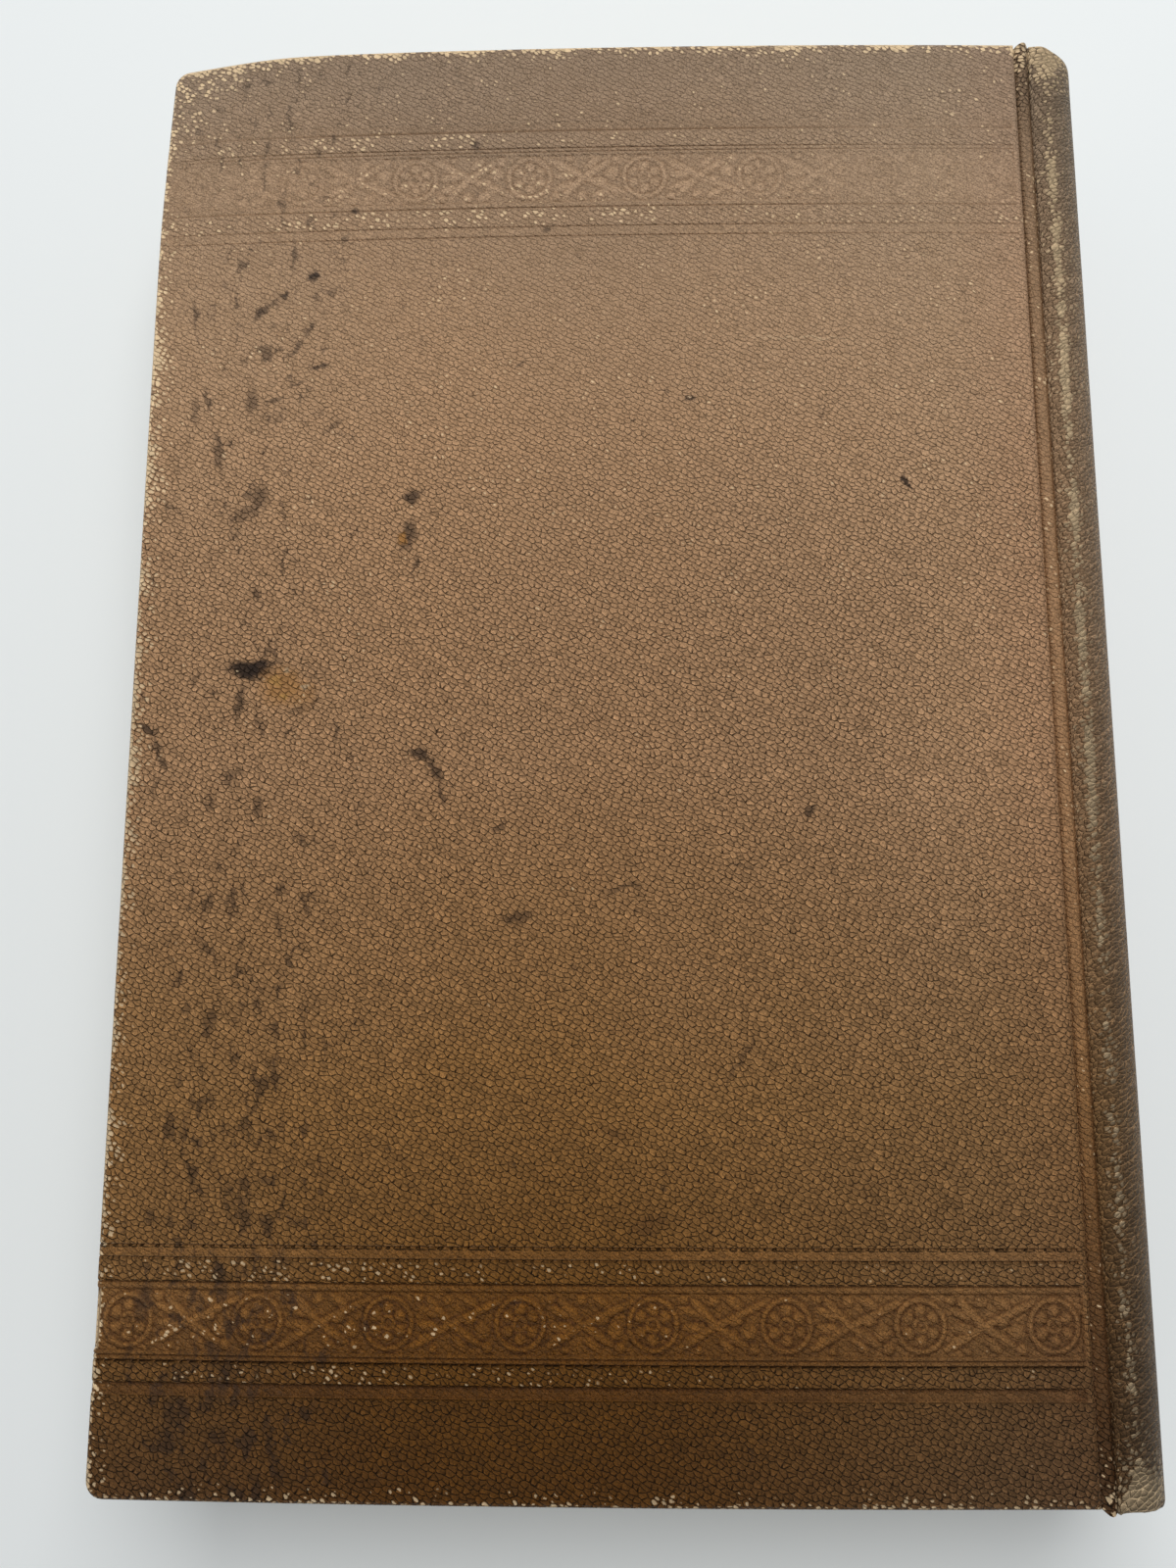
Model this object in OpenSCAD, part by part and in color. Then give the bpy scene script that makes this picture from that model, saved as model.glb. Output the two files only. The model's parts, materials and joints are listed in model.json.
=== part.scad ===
// Cloth-cased hardback book, lying on its front cover with the rear cover up.
// X runs from the fore edge to the spine, Y from the tail to the head, Z up from the table.
// The rear cover has warped into a low arch, and its head corner at the fore edge is bent down.

/* [Covers] */
// Width of a cover from its fore edge to the joint
cover_w = 141; // [120:1:180]
// Height of a cover from tail to head
cover_h = 225; // [215:1:300]
// Thickness of the pasteboard inside a cover
board_t = 2.4; // [1.8:0.1:3.2]
// Thickness of the book cloth
cloth_t = 0.5; // [0.45:0.05:0.7]
// Thickness of the endpaper
paper_t = 0.25; // [0.15:0.05:0.4]
// Width of the cloth turned in over the inside of a cover
turn_in = 15; // [8:1:25]
// Distance from a cover's edge to the pasted-down endpaper
paste_margin = 3.5; // [2:0.5:6]
// Radius of a cover's corners, seen from above
corner_r = 2.5; // [1.5:0.5:5]
// Rise of the warped rear cover at its mid width
bow = 1.3; // [0.6:0.1:3]

/* [Bent corner] */
// How far the crease starts from the corner along the head edge
crease_x = 36; // [20:1:50]
// How far the crease starts from the corner along the fore edge
crease_y = 50; // [30:1:70]
// How far the corner's tip is bent down
tip_drop = 3.4; // [1:0.1:5]

/* [Block and spine] */
// Thickness of the closed book along the joints
book_t = 38; // [30:1:50]
// Overhang of the covers past the pages
square_w = 3; // [2:0.5:5]
// Depth of the hollow fore edge of the pages
fore_hollow = 5; // [2:0.5:7]
// Radius of the round back
back_r = 40; // [34:1:60]
// Radius of the shoulders, over which the cloth turns into the joints
shoulder_r = 5; // [4:0.5:6]
// Distance from the joint to the crest of the shoulder
crest_set = 5.25; // [4.8:0.05:7]
// How far the shoulders stay below the faces of the covers
crest_drop = 0.4; // [0.4:0.1:0.8]
// Width of the floor of the joint groove
groove_w = 3.4; // [2.6:0.1:3.8]
// Slope of the shoulder's flank in the groove, in degrees
flank_angle = 65; // [55:1:75]
// How far the spine's cloth stands past the covers at head and tail
cap_reach = 0.5; // [0:0.1:1.5]
// Thickness of the paper strip that stiffens the spine's cloth
inlay_t = 0.4; // [0.3:0.1:0.8]
// Thickness of the lining glued to the backs of the pages
lining_t = 0.5; // [0.3:0.1:0.8]
// Clearance between a cover and the block, and between the two at a joint
clearance = 0.3; // [0.3:0.05:0.5]

/* [Stamped bands] */
// Distance from mid height to the centre line of the ornament
band_y = 88.6; // [84:0.1:92]
// Distance between the rings of the ornament
ring_pitch = 18.7; // [18:0.1:20]
// Radius of a ring at the middle of its line
ring_r = 3.35; // [3:0.05:3.5]
// Width of a ring's line
ring_line = 0.6; // [0.4:0.1:0.8]
// Depth of the ornament's sunk floor
floor_depth = 0.32; // [0.2:0.02:0.4]
// Depth of the rules and of the smooth strip
rule_depth = 0.22; // [0.15:0.01:0.4]
// Distance from the spine end of the bands to the joint
band_stop = 0.8; // [0.6:0.1:4]

/* [Hidden] */
$fn = 96;
far = 400;
// Overlap of the two sides of the crease
lap = 0.1;

// Depths of the layers of a cover, counted from its outer face
board_top = cloth_t;
board_end = board_top + board_t;
turn_end = board_end + cloth_t;
cover_depth = turn_end + paper_t;
leaf_top = cover_depth + clearance;
block_top = leaf_top + paper_t;

// The spine: the shoulder's circle touches the round back from inside
mid_z = book_t / 2;
crest_z = book_t - crest_drop - shoulder_r;
back_angle = asin((crest_z - mid_z) / (back_r - shoulder_r));
back_width = crest_set + back_r - (back_r - shoulder_r) * cos(back_angle);
total_w = cover_w + back_width;
fore_x = -total_w / 2;
joint_x = fore_x + cover_w;
crest_x = joint_x + crest_set;
back_x = total_w / 2 - back_r;
groove_z = book_t - block_top + paper_t + lining_t + cloth_t;
spine_edge = joint_x + clearance;
block_depth = cloth_t + inlay_t + lining_t;
page_h = cover_h - 2 * square_w;
spine_h = cover_h + 2 * cap_reach;

// The rear cover's arch
arch_x = fore_x + cover_w / 2;
arch_r = (pow(cover_w / 2, 2) + pow(bow, 2)) / (2 * bow);
arch_z = book_t + bow - arch_r;

// A shape drawn in the X, Z plane, drawn out along Y between two heights
module along(y0, y1)
    translate([0, y1, 0]) rotate([90, 0, 0]) linear_extrude(height = y1 - y0) children();

// An upright column over a shape drawn in the X, Y plane
module column() translate([0, 0, -far / 4]) linear_extrude(height = far / 2) children();

module box_2d(x0, x1, y0, y1) translate([x0, y0]) square([x1 - x0, y1 - y0]);

// The outline of a cover or endpaper, inset from the cover's edges, with round fore-edge corners
module leaf_outline(inset, x1, radius) {
    x0 = fore_x + inset;
    y1 = cover_h / 2 - inset;
    box_2d(x0 + radius, x1, -y1, y1);
    box_2d(x0, x1, -y1 + radius, y1 - radius);
    for (side = [-1, 1]) translate([x0 + radius, side * (y1 - radius)]) circle(radius);
}

// Inside of the turned-in cloth: open towards the joint
module window_outline(inset, x1)
    box_2d(fore_x + turn_in + inset, x1, -cover_h / 2 + turn_in + inset, cover_h / 2 - turn_in - inset);

// The arch of the rear cover, lowered by a depth
module arch_disc(depth) translate([arch_x, arch_z - depth]) circle(arch_r, $fn = 256);

module arch_section(d0, d1, x0, x1) {
    intersection() {
        difference() {
            arch_disc(d0);
            arch_disc(d1);
        }
        box_2d(x0, x1, book_t - far / 8, book_t + far / 8);
    }
}

// The layer of a cover between two depths: arched in the rear cover, flat in the front one
module layer(side, d0, d1) {
    if (side == "rear")
        along(-far / 2, far / 2) arch_section(d0, d1, fore_x - 1, joint_x + 1);
    else
        translate([fore_x - 1, -far / 2, d0]) cube([cover_w + 2, far, d1 - d0]);
}

// Section of the spine, sunk by one depth on the back and by another in the grooves
module spine_section(on_back, in_groove) {
    floor_z = groove_z - in_groove;
    base_x = joint_x + groove_w + in_groove * tan(flank_angle / 2);
    translate([back_x, mid_z]) intersection() {
        circle(back_r - on_back);
        polygon([
            [0, 0],
            far * [cos(back_angle), sin(back_angle)],
            far * [cos(back_angle), -sin(back_angle)]
        ]);
    }
    for (up = [1, -1]) translate([0, mid_z]) scale([1, up]) {
        box_2d(fore_x, crest_x, 0, floor_z - mid_z);
        difference() {
            translate([crest_x, crest_z - mid_z]) circle(shoulder_r - on_back);
            polygon([
                [fore_x, floor_z - mid_z],
                [base_x, floor_z - mid_z],
                [base_x + book_t / tan(flank_angle), floor_z - mid_z + book_t],
                [fore_x, floor_z - mid_z + book_t]
            ]);
        }
    }
}

// A layer of the spine's wrapping, from its start in the joints round the back
module spine_layer(outer_back, inner_back, outer_groove, inner_groove, x0) {
    intersection() {
        difference() {
            spine_section(outer_back, outer_groove);
            spine_section(inner_back, inner_groove);
        }
        box_2d(x0, far, 0, book_t);
    }
}

// The corner of the rear cover is bent down along a crease: both sides of it meet on one slanted plane
crease_len = norm([crease_x, crease_y]);
crease_turn = atan2(crease_x, -crease_y);
crease_reach = crease_x * crease_y / crease_len;
bend = asin(tip_drop / crease_reach);
function arch_height(x) = arch_z + sqrt(pow(arch_r, 2) - pow(x - arch_x, 2));
crease_mid_z = (arch_height(fore_x) + arch_height(fore_x + crease_x)) / 2;
crease_tilt = atan((arch_height(fore_x + crease_x) - arch_height(fore_x)) / crease_len);

module at_crease()
    translate([fore_x + crease_x / 2, cover_h / 2 - crease_y / 2, crease_mid_z])
        rotate([0, 0, crease_turn]) rotate([-crease_tilt, 0, 0]) children();

module from_crease()
    rotate([crease_tilt, 0, 0]) rotate([0, 0, -crease_turn])
        translate([-fore_x - crease_x / 2, crease_y / 2 - cover_h / 2, -crease_mid_z]) children();

module beyond_crease(lean, start)
    at_crease() rotate([0, lean, 0]) translate([start, -far / 2, -far / 2]) cube(far);

module bent_corner(side) {
    if (side == "rear") {
        difference() {
            children();
            beyond_crease(bend / 2, lap);
        }
        at_crease() rotate([0, bend, 0]) from_crease() intersection() {
            children();
            beyond_crease(-bend / 2, -lap);
        }
    } else {
        children();
    }
}

module rear_board() color("#b08d5f") board("rear");
module front_board() color("#b08d5f") board("front");
module board(side)
    bent_corner(side) intersection() {
        layer(side, board_top, board_end);
        column() leaf_outline(cloth_t, joint_x - cloth_t, corner_r - cloth_t);
    }

// The cloth wraps the board, turns in round three edges and ends with a lip down the fourth
module folded_cloth(side) {
    difference() {
        intersection() {
            layer(side, 0, turn_end);
            column() leaf_outline(0, joint_x, corner_r);
        }
        intersection() {
            layer(side, board_top, board_end);
            column() leaf_outline(cloth_t, joint_x - cloth_t, corner_r - cloth_t);
        }
        intersection() {
            layer(side, board_end, turn_end + 1);
            column() window_outline(0, joint_x + 1);
        }
    }
}

module front_cover_cloth() color("#7b5432") folded_cloth("front");
module rear_cover_cloth() color("#7b5432") bent_corner("rear") difference() {
    folded_cloth("rear");
    sunk(rule_depth) both_bands() band_rules();
    sunk(floor_depth) both_bands() difference() {
        band_floor();
        band_ornament();
    }
}

// The paper pasted over the inside of a cover follows the step at the edge of the turned-in cloth
module rear_pastedown() color("#d9c9a3") pastedown("rear");
module front_pastedown() color("#d9c9a3") pastedown("front");
module pastedown(side) bent_corner(side) {
    paper_end = joint_x - cloth_t;
    intersection() {
        layer(side, board_end, board_end + paper_t);
        column() window_outline(0, paper_end);
    }
    intersection() {
        layer(side, board_end, cover_depth);
        column() difference() {
            window_outline(0, paper_end);
            window_outline(paper_t, paper_end + 1);
        }
    }
    intersection() {
        layer(side, turn_end, cover_depth);
        column() difference() {
            leaf_outline(paste_margin, paper_end, corner_r / 2);
            window_outline(paper_t, paper_end + 1);
        }
    }
}

// The stamped bands are drawn for the tail, round the ornament's centre line, and mirrored to the head
band_x0 = fore_x - 1;
band_x1 = joint_x - band_stop;
rings_each_way = 4;
ring_shift = -0.15;
petal_place = 0.57 * ring_r;
petal_r = 0.235 * ring_r;

module both_bands() for (up = [1, -1]) scale([1, up]) children();

module sunk(depth) intersection() {
    layer("rear", -1, depth);
    column() children();
}

// Two grooves, a line, the ornament's floor, two more grooves and a smooth strip, from mid height outwards
groove_line = 0.35;
groove_places = [-10.45, -8.75, -5.3, 4.75, 5.3];
floor_half = 4.2;
smooth_strip = [8.2, 10];
module stripe(near, far_side) box_2d(band_x0, band_x1, -band_y - far_side, -band_y - near);
module band_rules() {
    for (at = groove_places) stripe(at - groove_line / 2, at + groove_line / 2);
    stripe(smooth_strip[0], smooth_strip[1]);
}
module band_floor() stripe(-floor_half, floor_half);

// A leaf between two points, pointed at both ends
module leaf(from, to, width) {
    half = norm(to - from) / 2;
    radius = (half * half + width * width / 4) / width;
    translate((from + to) / 2) rotate(atan2(to[1] - from[1], to[0] - from[0])) intersection() {
        translate([0, radius - width / 2]) circle(radius);
        translate([0, width / 2 - radius]) circle(radius);
    }
}

// A straight stem between two points
module stem(from, to, width)
    translate(from) rotate(atan2(to[1] - from[1], to[0] - from[0]))
        translate([0, -width / 2]) square([norm(to - from), width]);

module ball_2d(at, width) translate(at) circle(d = width);

// A ring round a flower of six petals
module flower_ring() {
    difference() {
        circle(ring_r + ring_line / 2);
        circle(ring_r - ring_line / 2);
    }
    for (k = [0 : 5]) rotate(30 + 60 * k) translate([petal_place, 0]) circle(petal_r);
}

// Crossed stems with leaves and balls, which fill the space between two rings
module crossed_stems() {
    stem([3.0, -3.5], [8.8, -0.1], 0.75);
    stem([8.5, -0.2], [ring_pitch - 2.3, 3.3], 0.75);
    stem([5.6, 3.3], [8.7, -0.1], 0.8);
    stem([8.4, 0.1], [13.3, -3.0], 0.75);
    ball_2d([14.0, -3.1], 1.6);
    ball_2d([13.3, -0.7], 2.1);
    ball_2d([4.3, 3.3], 1.3);
    ball_2d([8.9, 3.1], 1.3);
    leaf([4.2, 2.0], [7.0, 0.9], 0.8);
    leaf([4.1, -0.3], [7.4, -0.5], 1.2);
    leaf([4.2, -2.0], [7.5, -1.3], 0.8);
    leaf([10.4, 3.6], [12.6, 2.1], 1.0);
    leaf([9.3, -1.6], [11.3, -3.5], 0.9);
}

module band_ornament() translate([arch_x + ring_shift, -band_y]) {
    for (k = [-rings_each_way : rings_each_way - 1]) translate([(k + 0.5) * ring_pitch, 0]) {
        flower_ring();
        crossed_stems();
    }
}

// The pages: rounded and backed at the spine, with a hollow fore edge
leaf_in_joint = cloth_t + lining_t;
page_fore = fore_x + square_w;
fore_half = mid_z - block_top;
fore_r = (pow(fore_half + bow, 2) + pow(fore_hollow, 2)) / (2 * fore_hollow);

// The pages and what lies on them, up to a depth under the cover's face and another in the joint
module page_section(under_cover, in_joint) {
    intersection() {
        arch_disc(under_cover);
        box_2d(page_fore, joint_x, block_top, book_t);
    }
    intersection() {
        spine_section(block_depth, in_joint);
        box_2d(joint_x - 1, far, 0, book_t);
    }
}

module text_block() color("#cdb98f") difference() {
    along(-page_h / 2, page_h / 2) difference() {
        page_section(block_top, leaf_in_joint + paper_t);
        translate([page_fore + fore_hollow - fore_r, mid_z]) circle(fore_r);
    }
    bent_space(block_top);
}

// The space over the bent corner, down to a depth under its face, which the pages give way to
module bent_space(depth)
    at_crease() rotate([0, bend, 0]) from_crease() along(-far / 2, far / 2) difference() {
        box_2d(-far / 2, far / 2, book_t - far / 8, book_t + far / 8);
        arch_disc(depth);
    }

// The free leaves of the endpapers lie on the pages and turn up into the joints
module rear_flyleaf() color("#d9c9a3") bent_corner("rear") along(-page_h / 2, page_h / 2)
    intersection() {
        difference() {
            page_section(leaf_top, leaf_in_joint);
            page_section(block_top, leaf_in_joint + paper_t);
        }
        box_2d(fore_x, crest_x, mid_z, book_t);
    }

module front_flyleaf() color("#d9c9a3") along(-page_h / 2, page_h / 2) {
    box_2d(page_fore, joint_x, leaf_top, block_top);
    intersection() {
        difference() {
            spine_section(block_depth, leaf_in_joint);
            spine_section(block_depth, leaf_in_joint + paper_t);
        }
        box_2d(joint_x, crest_x, 0, mid_z);
    }
}

// The lining stops short of the head and tail, where the spine's cloth is turned in
lining_h = cover_h - 2 * turn_in - 2 * clearance;
module spine_lining() color("#c8b68f")
    along(-lining_h / 2, lining_h / 2)
        spine_layer(cloth_t + inlay_t, block_depth, cloth_t, cloth_t + lining_t, joint_x + 2 * clearance);

module spine_inlay() color("#a9906a")
    along(-cover_h / 2 + cloth_t, cover_h / 2 - cloth_t)
        spine_layer(cloth_t, cloth_t + inlay_t, cloth_t, cloth_t, crest_x);

module spine_cloth() color("#7b5432") {
    along(-spine_h / 2, spine_h / 2)
        spine_layer(0, cloth_t, 0, cloth_t, spine_edge);
    for (up = [1, -1]) scale([1, up, 1]) {
        along(cover_h / 2 - turn_in, spine_h / 2)
            spine_layer(cloth_t + inlay_t, block_depth, cloth_t, cloth_t + lining_t, spine_edge);
        along(cover_h / 2 - cloth_t, spine_h / 2)
            spine_layer(0, block_depth, 0, cloth_t + lining_t, spine_edge);
    }
}

text_block();
rear_flyleaf();
front_flyleaf();
spine_lining();
spine_inlay();
spine_cloth();
rear_board();
rear_cover_cloth();
rear_pastedown();
front_board();
front_cover_cloth();
front_pastedown();
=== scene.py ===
# %% [markdown]
# # A worn hardback, bound in pebble-grained book cloth
# The book lies on its front cover, so what we see is the rear cover, the joint and the rounded spine.
# The solid model gives every piece its size and place. This script gives the pieces their finish, and
# models the cloth anew, because cloth has soft edges, a stamped relief and wear that the solids lack.
# Lengths are in metres, and MM turns the millimetres of a bookbinder into metres.

# %% Load the book
import json
import math

import bmesh
import bpy
from mathutils import Matrix, Vector, noise

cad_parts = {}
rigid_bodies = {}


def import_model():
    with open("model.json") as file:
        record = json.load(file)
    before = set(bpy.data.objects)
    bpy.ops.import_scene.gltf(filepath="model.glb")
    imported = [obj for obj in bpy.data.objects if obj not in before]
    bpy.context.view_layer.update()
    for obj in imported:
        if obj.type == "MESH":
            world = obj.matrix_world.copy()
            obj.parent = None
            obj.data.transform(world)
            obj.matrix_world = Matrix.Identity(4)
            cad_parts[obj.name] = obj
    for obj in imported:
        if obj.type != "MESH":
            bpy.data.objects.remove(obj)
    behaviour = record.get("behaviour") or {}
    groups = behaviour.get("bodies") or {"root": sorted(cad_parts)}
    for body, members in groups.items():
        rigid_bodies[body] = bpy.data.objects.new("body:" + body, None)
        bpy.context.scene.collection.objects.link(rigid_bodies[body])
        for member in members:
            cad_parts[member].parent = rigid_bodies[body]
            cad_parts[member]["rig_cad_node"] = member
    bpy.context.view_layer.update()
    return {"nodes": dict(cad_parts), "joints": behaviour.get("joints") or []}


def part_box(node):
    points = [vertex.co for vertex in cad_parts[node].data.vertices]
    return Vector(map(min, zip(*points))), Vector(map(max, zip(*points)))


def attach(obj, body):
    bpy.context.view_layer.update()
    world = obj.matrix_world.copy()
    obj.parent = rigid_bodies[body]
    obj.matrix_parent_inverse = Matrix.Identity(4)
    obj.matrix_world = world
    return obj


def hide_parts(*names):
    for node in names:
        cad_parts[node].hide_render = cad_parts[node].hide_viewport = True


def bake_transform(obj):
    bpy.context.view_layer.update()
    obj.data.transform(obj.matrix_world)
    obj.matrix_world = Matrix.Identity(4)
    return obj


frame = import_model()
scene = bpy.context.scene
MM = 0.001
print("nodes:", sorted(frame["nodes"]))

# %% [markdown]
# The flat front cover gives the size of both covers, and the hinge gives the height of the rear face.
# The rear cover has warped: it rises in a low arch, and the head corner at the fore edge is bent down.
# The arch is a circle through both edges. The bend starts at a crease and is softened, as board bends.
# NEAR is how close two places have to be to count as the same.

# %% Sizes of the covers
cover_low, cover_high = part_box("front_cover_cloth")
FORE_X, JOINT_X, HALF_H = cover_low.x, cover_high.x, cover_high.y
COVER_T = cover_high.z - cover_low.z
BOOK_T = next(j["pos_m"][2] for j in frame["joints"] if j["child"] == "rear_cover")
COVER_W = JOINT_X - FORE_X
MID_X = (FORE_X + JOINT_X) / 2
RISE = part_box("rear_cover_cloth")[1].z - BOOK_T
ARCH_R = (COVER_W ** 2 / 4 + RISE ** 2) / (2 * RISE)
CREASE_ON_HEAD = 20 * MM
CREASE_ON_FORE = 30 * MM
TIP_DROP = 3.4 * MM
CREASE_SOFTNESS = 4.5 * MM
CREASE_SHIFT = 0.7 * MM
NEAR = 0.01 * MM
crease_reach = CREASE_ON_HEAD * CREASE_ON_FORE / math.hypot(CREASE_ON_HEAD, CREASE_ON_FORE)
to_corner = Vector((-1 / CREASE_ON_HEAD, 1 / CREASE_ON_FORE)).normalized()


def past_crease(x, y):
    """Distance of a point beyond the crease, towards the bent corner."""
    return (Vector((x - FORE_X, y - HALF_H + CREASE_ON_FORE))).dot(to_corner)


def warp(x, y):
    """How much higher the warped rear cover lies at x, y than a flat one."""
    beyond = past_crease(x, y) - CREASE_SHIFT
    softened = (beyond + math.hypot(beyond, CREASE_SOFTNESS)) / 2
    lift = math.sqrt(ARCH_R ** 2 - (x - MID_X) ** 2) - ARCH_R + RISE
    return lift - softened * TIP_DROP / crease_reach


print(f"cover {COVER_W / MM:.1f} x {2 * HALF_H / MM:.1f} mm, arch {RISE / MM:.1f} mm")

# %% [markdown]
# The camera hangs over the book a little towards the tail, where the photographer stood. Its place and
# turn come from the corners of the cover: a wide phone lens that leans towards the head by 9.4 degrees.

# %% Camera
LEAN, ROLL_OVER, TWIST = math.radians(-9.376), math.radians(-1.50), math.radians(0.232)
LENS = 29.32
CAMERA_OFFSET = Vector((-0.035, 11.256, -194.663)) * MM
to_camera = Matrix.Rotation(TWIST, 3, "Z") @ Matrix.Rotation(ROLL_OVER, 3, "Y")
to_camera = to_camera @ Matrix.Rotation(LEAN, 3, "X")
bpy.ops.object.camera_add()
camera = bpy.context.object
camera.name = "camera"
camera.data.lens = LENS
camera.data.sensor_width = 36
camera.data.clip_start = 0.01
eye = Vector((MID_X, 0, BOOK_T)) - to_camera.transposed() @ CAMERA_OFFSET
camera.matrix_world = Matrix.Translation(eye) @ to_camera.transposed().to_4x4()
scene.camera = camera
scene.view_settings.view_transform = "Standard"
print("camera at", [round(v / MM, 1) for v in eye], "mm")

# %% [markdown]
# Small helpers. Operators act on what is selected, so `only` makes one piece the selected one, and
# `pick` selects its vertices, edges or faces in edit mode by a test of their place.

# %% Selection helpers
def only(piece):
    """Leaves edit mode and makes this piece the only selected one."""
    if bpy.context.mode != "OBJECT":
        bpy.ops.object.mode_set(mode="OBJECT")
    bpy.ops.object.select_all(action="DESELECT")
    piece.select_set(True)
    bpy.context.view_layer.objects.active = piece
    return piece


def centre(part):
    """The middle of a vertex, an edge or a face."""
    if isinstance(part, bmesh.types.BMVert):
        return part.co
    if isinstance(part, bmesh.types.BMEdge):
        return (part.verts[0].co + part.verts[1].co) / 2
    return part.calc_center_median()


def pick(piece, kind, test):
    """Selects the parts of a kind, VERT, EDGE or FACE, that pass a test, and returns how many there are."""
    if bpy.context.mode != "EDIT_MESH":
        only(piece)
        bpy.ops.object.mode_set(mode="EDIT")
    bpy.ops.mesh.select_mode(type=kind)
    bpy.ops.mesh.select_all(action="DESELECT")
    sheet = bmesh.from_edit_mesh(piece.data)
    parts = {"VERT": sheet.verts, "EDGE": sheet.edges, "FACE": sheet.faces}[kind]
    found = [part for part in parts if test(part)]
    for part in found:
        part.select_set(True)
    sheet.select_flush_mode()
    bmesh.update_edit_mesh(piece.data)
    return len(found)


def cut_across(piece, places, axis):
    """Cuts a whole piece by planes at these places along an axis."""
    normal = Vector((0, 0, 0))
    normal["xyz".index(axis)] = 1
    only(piece)
    bpy.ops.object.mode_set(mode="EDIT")
    for place in places:
        bpy.ops.mesh.select_all(action="SELECT")
        bpy.ops.mesh.bisect(plane_co=normal * place, plane_no=normal)


def apply_modifier(piece, kind, **settings):
    """Adds a modifier with these settings and applies it at once."""
    only(piece)
    modifier = piece.modifiers.new(kind.title(), kind)
    for name, value in settings.items():
        setattr(modifier, name, value)
    bpy.ops.object.modifier_apply(modifier=modifier.name)


def tidy_piece(piece, angle=50):
    """Turns the faces outwards and shades the piece smooth, apart from edges sharper than the angle."""
    only(piece)
    bpy.ops.object.mode_set(mode="EDIT")
    bpy.ops.mesh.select_all(action="SELECT")
    bpy.ops.mesh.remove_doubles(threshold=0.002 * MM)
    bpy.ops.mesh.normals_make_consistent(inside=False)
    bpy.ops.object.mode_set(mode="OBJECT")
    bpy.ops.object.shade_smooth_by_angle(angle=math.radians(angle))
    triangles = sum(len(face.vertices) - 2 for face in piece.data.polygons)
    print(f"{piece.name}: {triangles} triangles")


def paint(piece, name, rule):
    """Stores a number on every vertex, worked out from its place by a rule."""
    layer = piece.data.attributes.new(name, "FLOAT", "POINT")
    layer.data.foreach_set("value", [rule(vertex.co) for vertex in piece.data.vertices])


def smooth_step(low, high, value):
    t = min(max((value - low) / (high - low), 0), 1)
    return t * t * (3 - 2 * t)

# %% [markdown]
# The two bands were pressed into the cover with a heated brass stamp. Seen along its height, a band is
# a row of straight steps: fine grooves, a line, the sunk floor of the ornament, more grooves and a smooth
# strip. The list gives the distance from mid height and the depth at each point of that section.
# A worn band keeps only a share of its depth.

# %% Section of a stamped band
STAMP = [
    (77.90, 0), (78.05, 0.06), (78.20, 0.26), (78.38, 0.04), (78.60, 0.02),
    (79.62, 0.02), (79.76, 0.05), (79.90, 0.26), (80.08, 0.03), (80.30, 0),
    (82.95, 0), (83.15, 0.05), (83.32, 0.28), (83.52, 0.05), (83.68, 0.02),
    (83.95, 0.03), (84.16, 0.12), (84.42, 0.36),
    (92.52, 0.36), (92.68, 0.10), (92.84, 0.03), (93.04, 0.05), (93.22, 0.26), (93.40, 0.10),
    (93.58, 0.03), (93.72, 0.06), (93.88, 0.24), (94.06, 0.03), (94.30, 0),
    (96.60, 0), (96.80, 0.10), (96.98, 0.30), (98.30, 0.18), (98.50, 0.06), (98.66, -0.02), (98.90, 0),
]
FLOOR_IN, FLOOR_OUT = 84.42 * MM, 92.52 * MM
FLOOR_DEPTH = 0.36 * MM
TAIL_SHARE = 1.3
HEAD_SHARE = 0.6
SMOOTH_ZONES = [(78.4, 79.7), (83.1, 94.0), (96.75, 98.6)]
BAND_END = JOINT_X - 1.0 * MM


def stamp_depth(y):
    """Depth of the stamped section at this distance from mid height."""
    y = abs(y) / MM
    for (y0, d0), (y1, d1) in zip(STAMP, STAMP[1:]):
        if y0 <= y <= y1:
            return (d0 + (d1 - d0) * (y - y0) / (y1 - y0)) * MM
    return 0.0


def left_of_stamp(x, y):
    """The head band has been rubbed flatter than the tail band, and most of all at both its ends."""
    if y < 0:
        return TAIL_SHARE
    fore_end = 0.65 * (1 - smooth_step(6 * MM, 52 * MM, x - FORE_X))
    joint_end = 0.7 * smooth_step(82 * MM, 122 * MM, x - FORE_X)
    return HEAD_SHARE * (1 - fore_end - joint_end)


def pressed_depth(x, y):
    """Depth of the worn relief at a place on the face."""
    return stamp_depth(y) * left_of_stamp(x, y)

# %% [markdown]
# The cloth of a cover is one sheet: over the face, round the edges, and turned in on the inside.
# It starts as a block of the board's size. The corners and then the long edges are bevelled round,
# planes cut it into rows and columns, the window inside the turned-in cloth is deleted, and Solidify
# gives the sheet its thickness. The rows of the stamped section are pressed down before that.

# %% The sheet of cloth over a cover
CLOTH_T = 0.5 * MM
TURN_IN = 15 * MM
CORNER_R = 2.5 * MM
EDGE_R = 0.9 * MM
COLUMN = 2.8 * MM
FIRST_COLUMN = 4.2 * MM
FIELD_ROW = 3.1 * MM


def even_places(start, end, step):
    """Evenly spaced places from start to end, about a step apart."""
    count = max(1, round(abs(end - start) / step))
    return [start + (end - start) * k / count for k in range(count + 1)]


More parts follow.
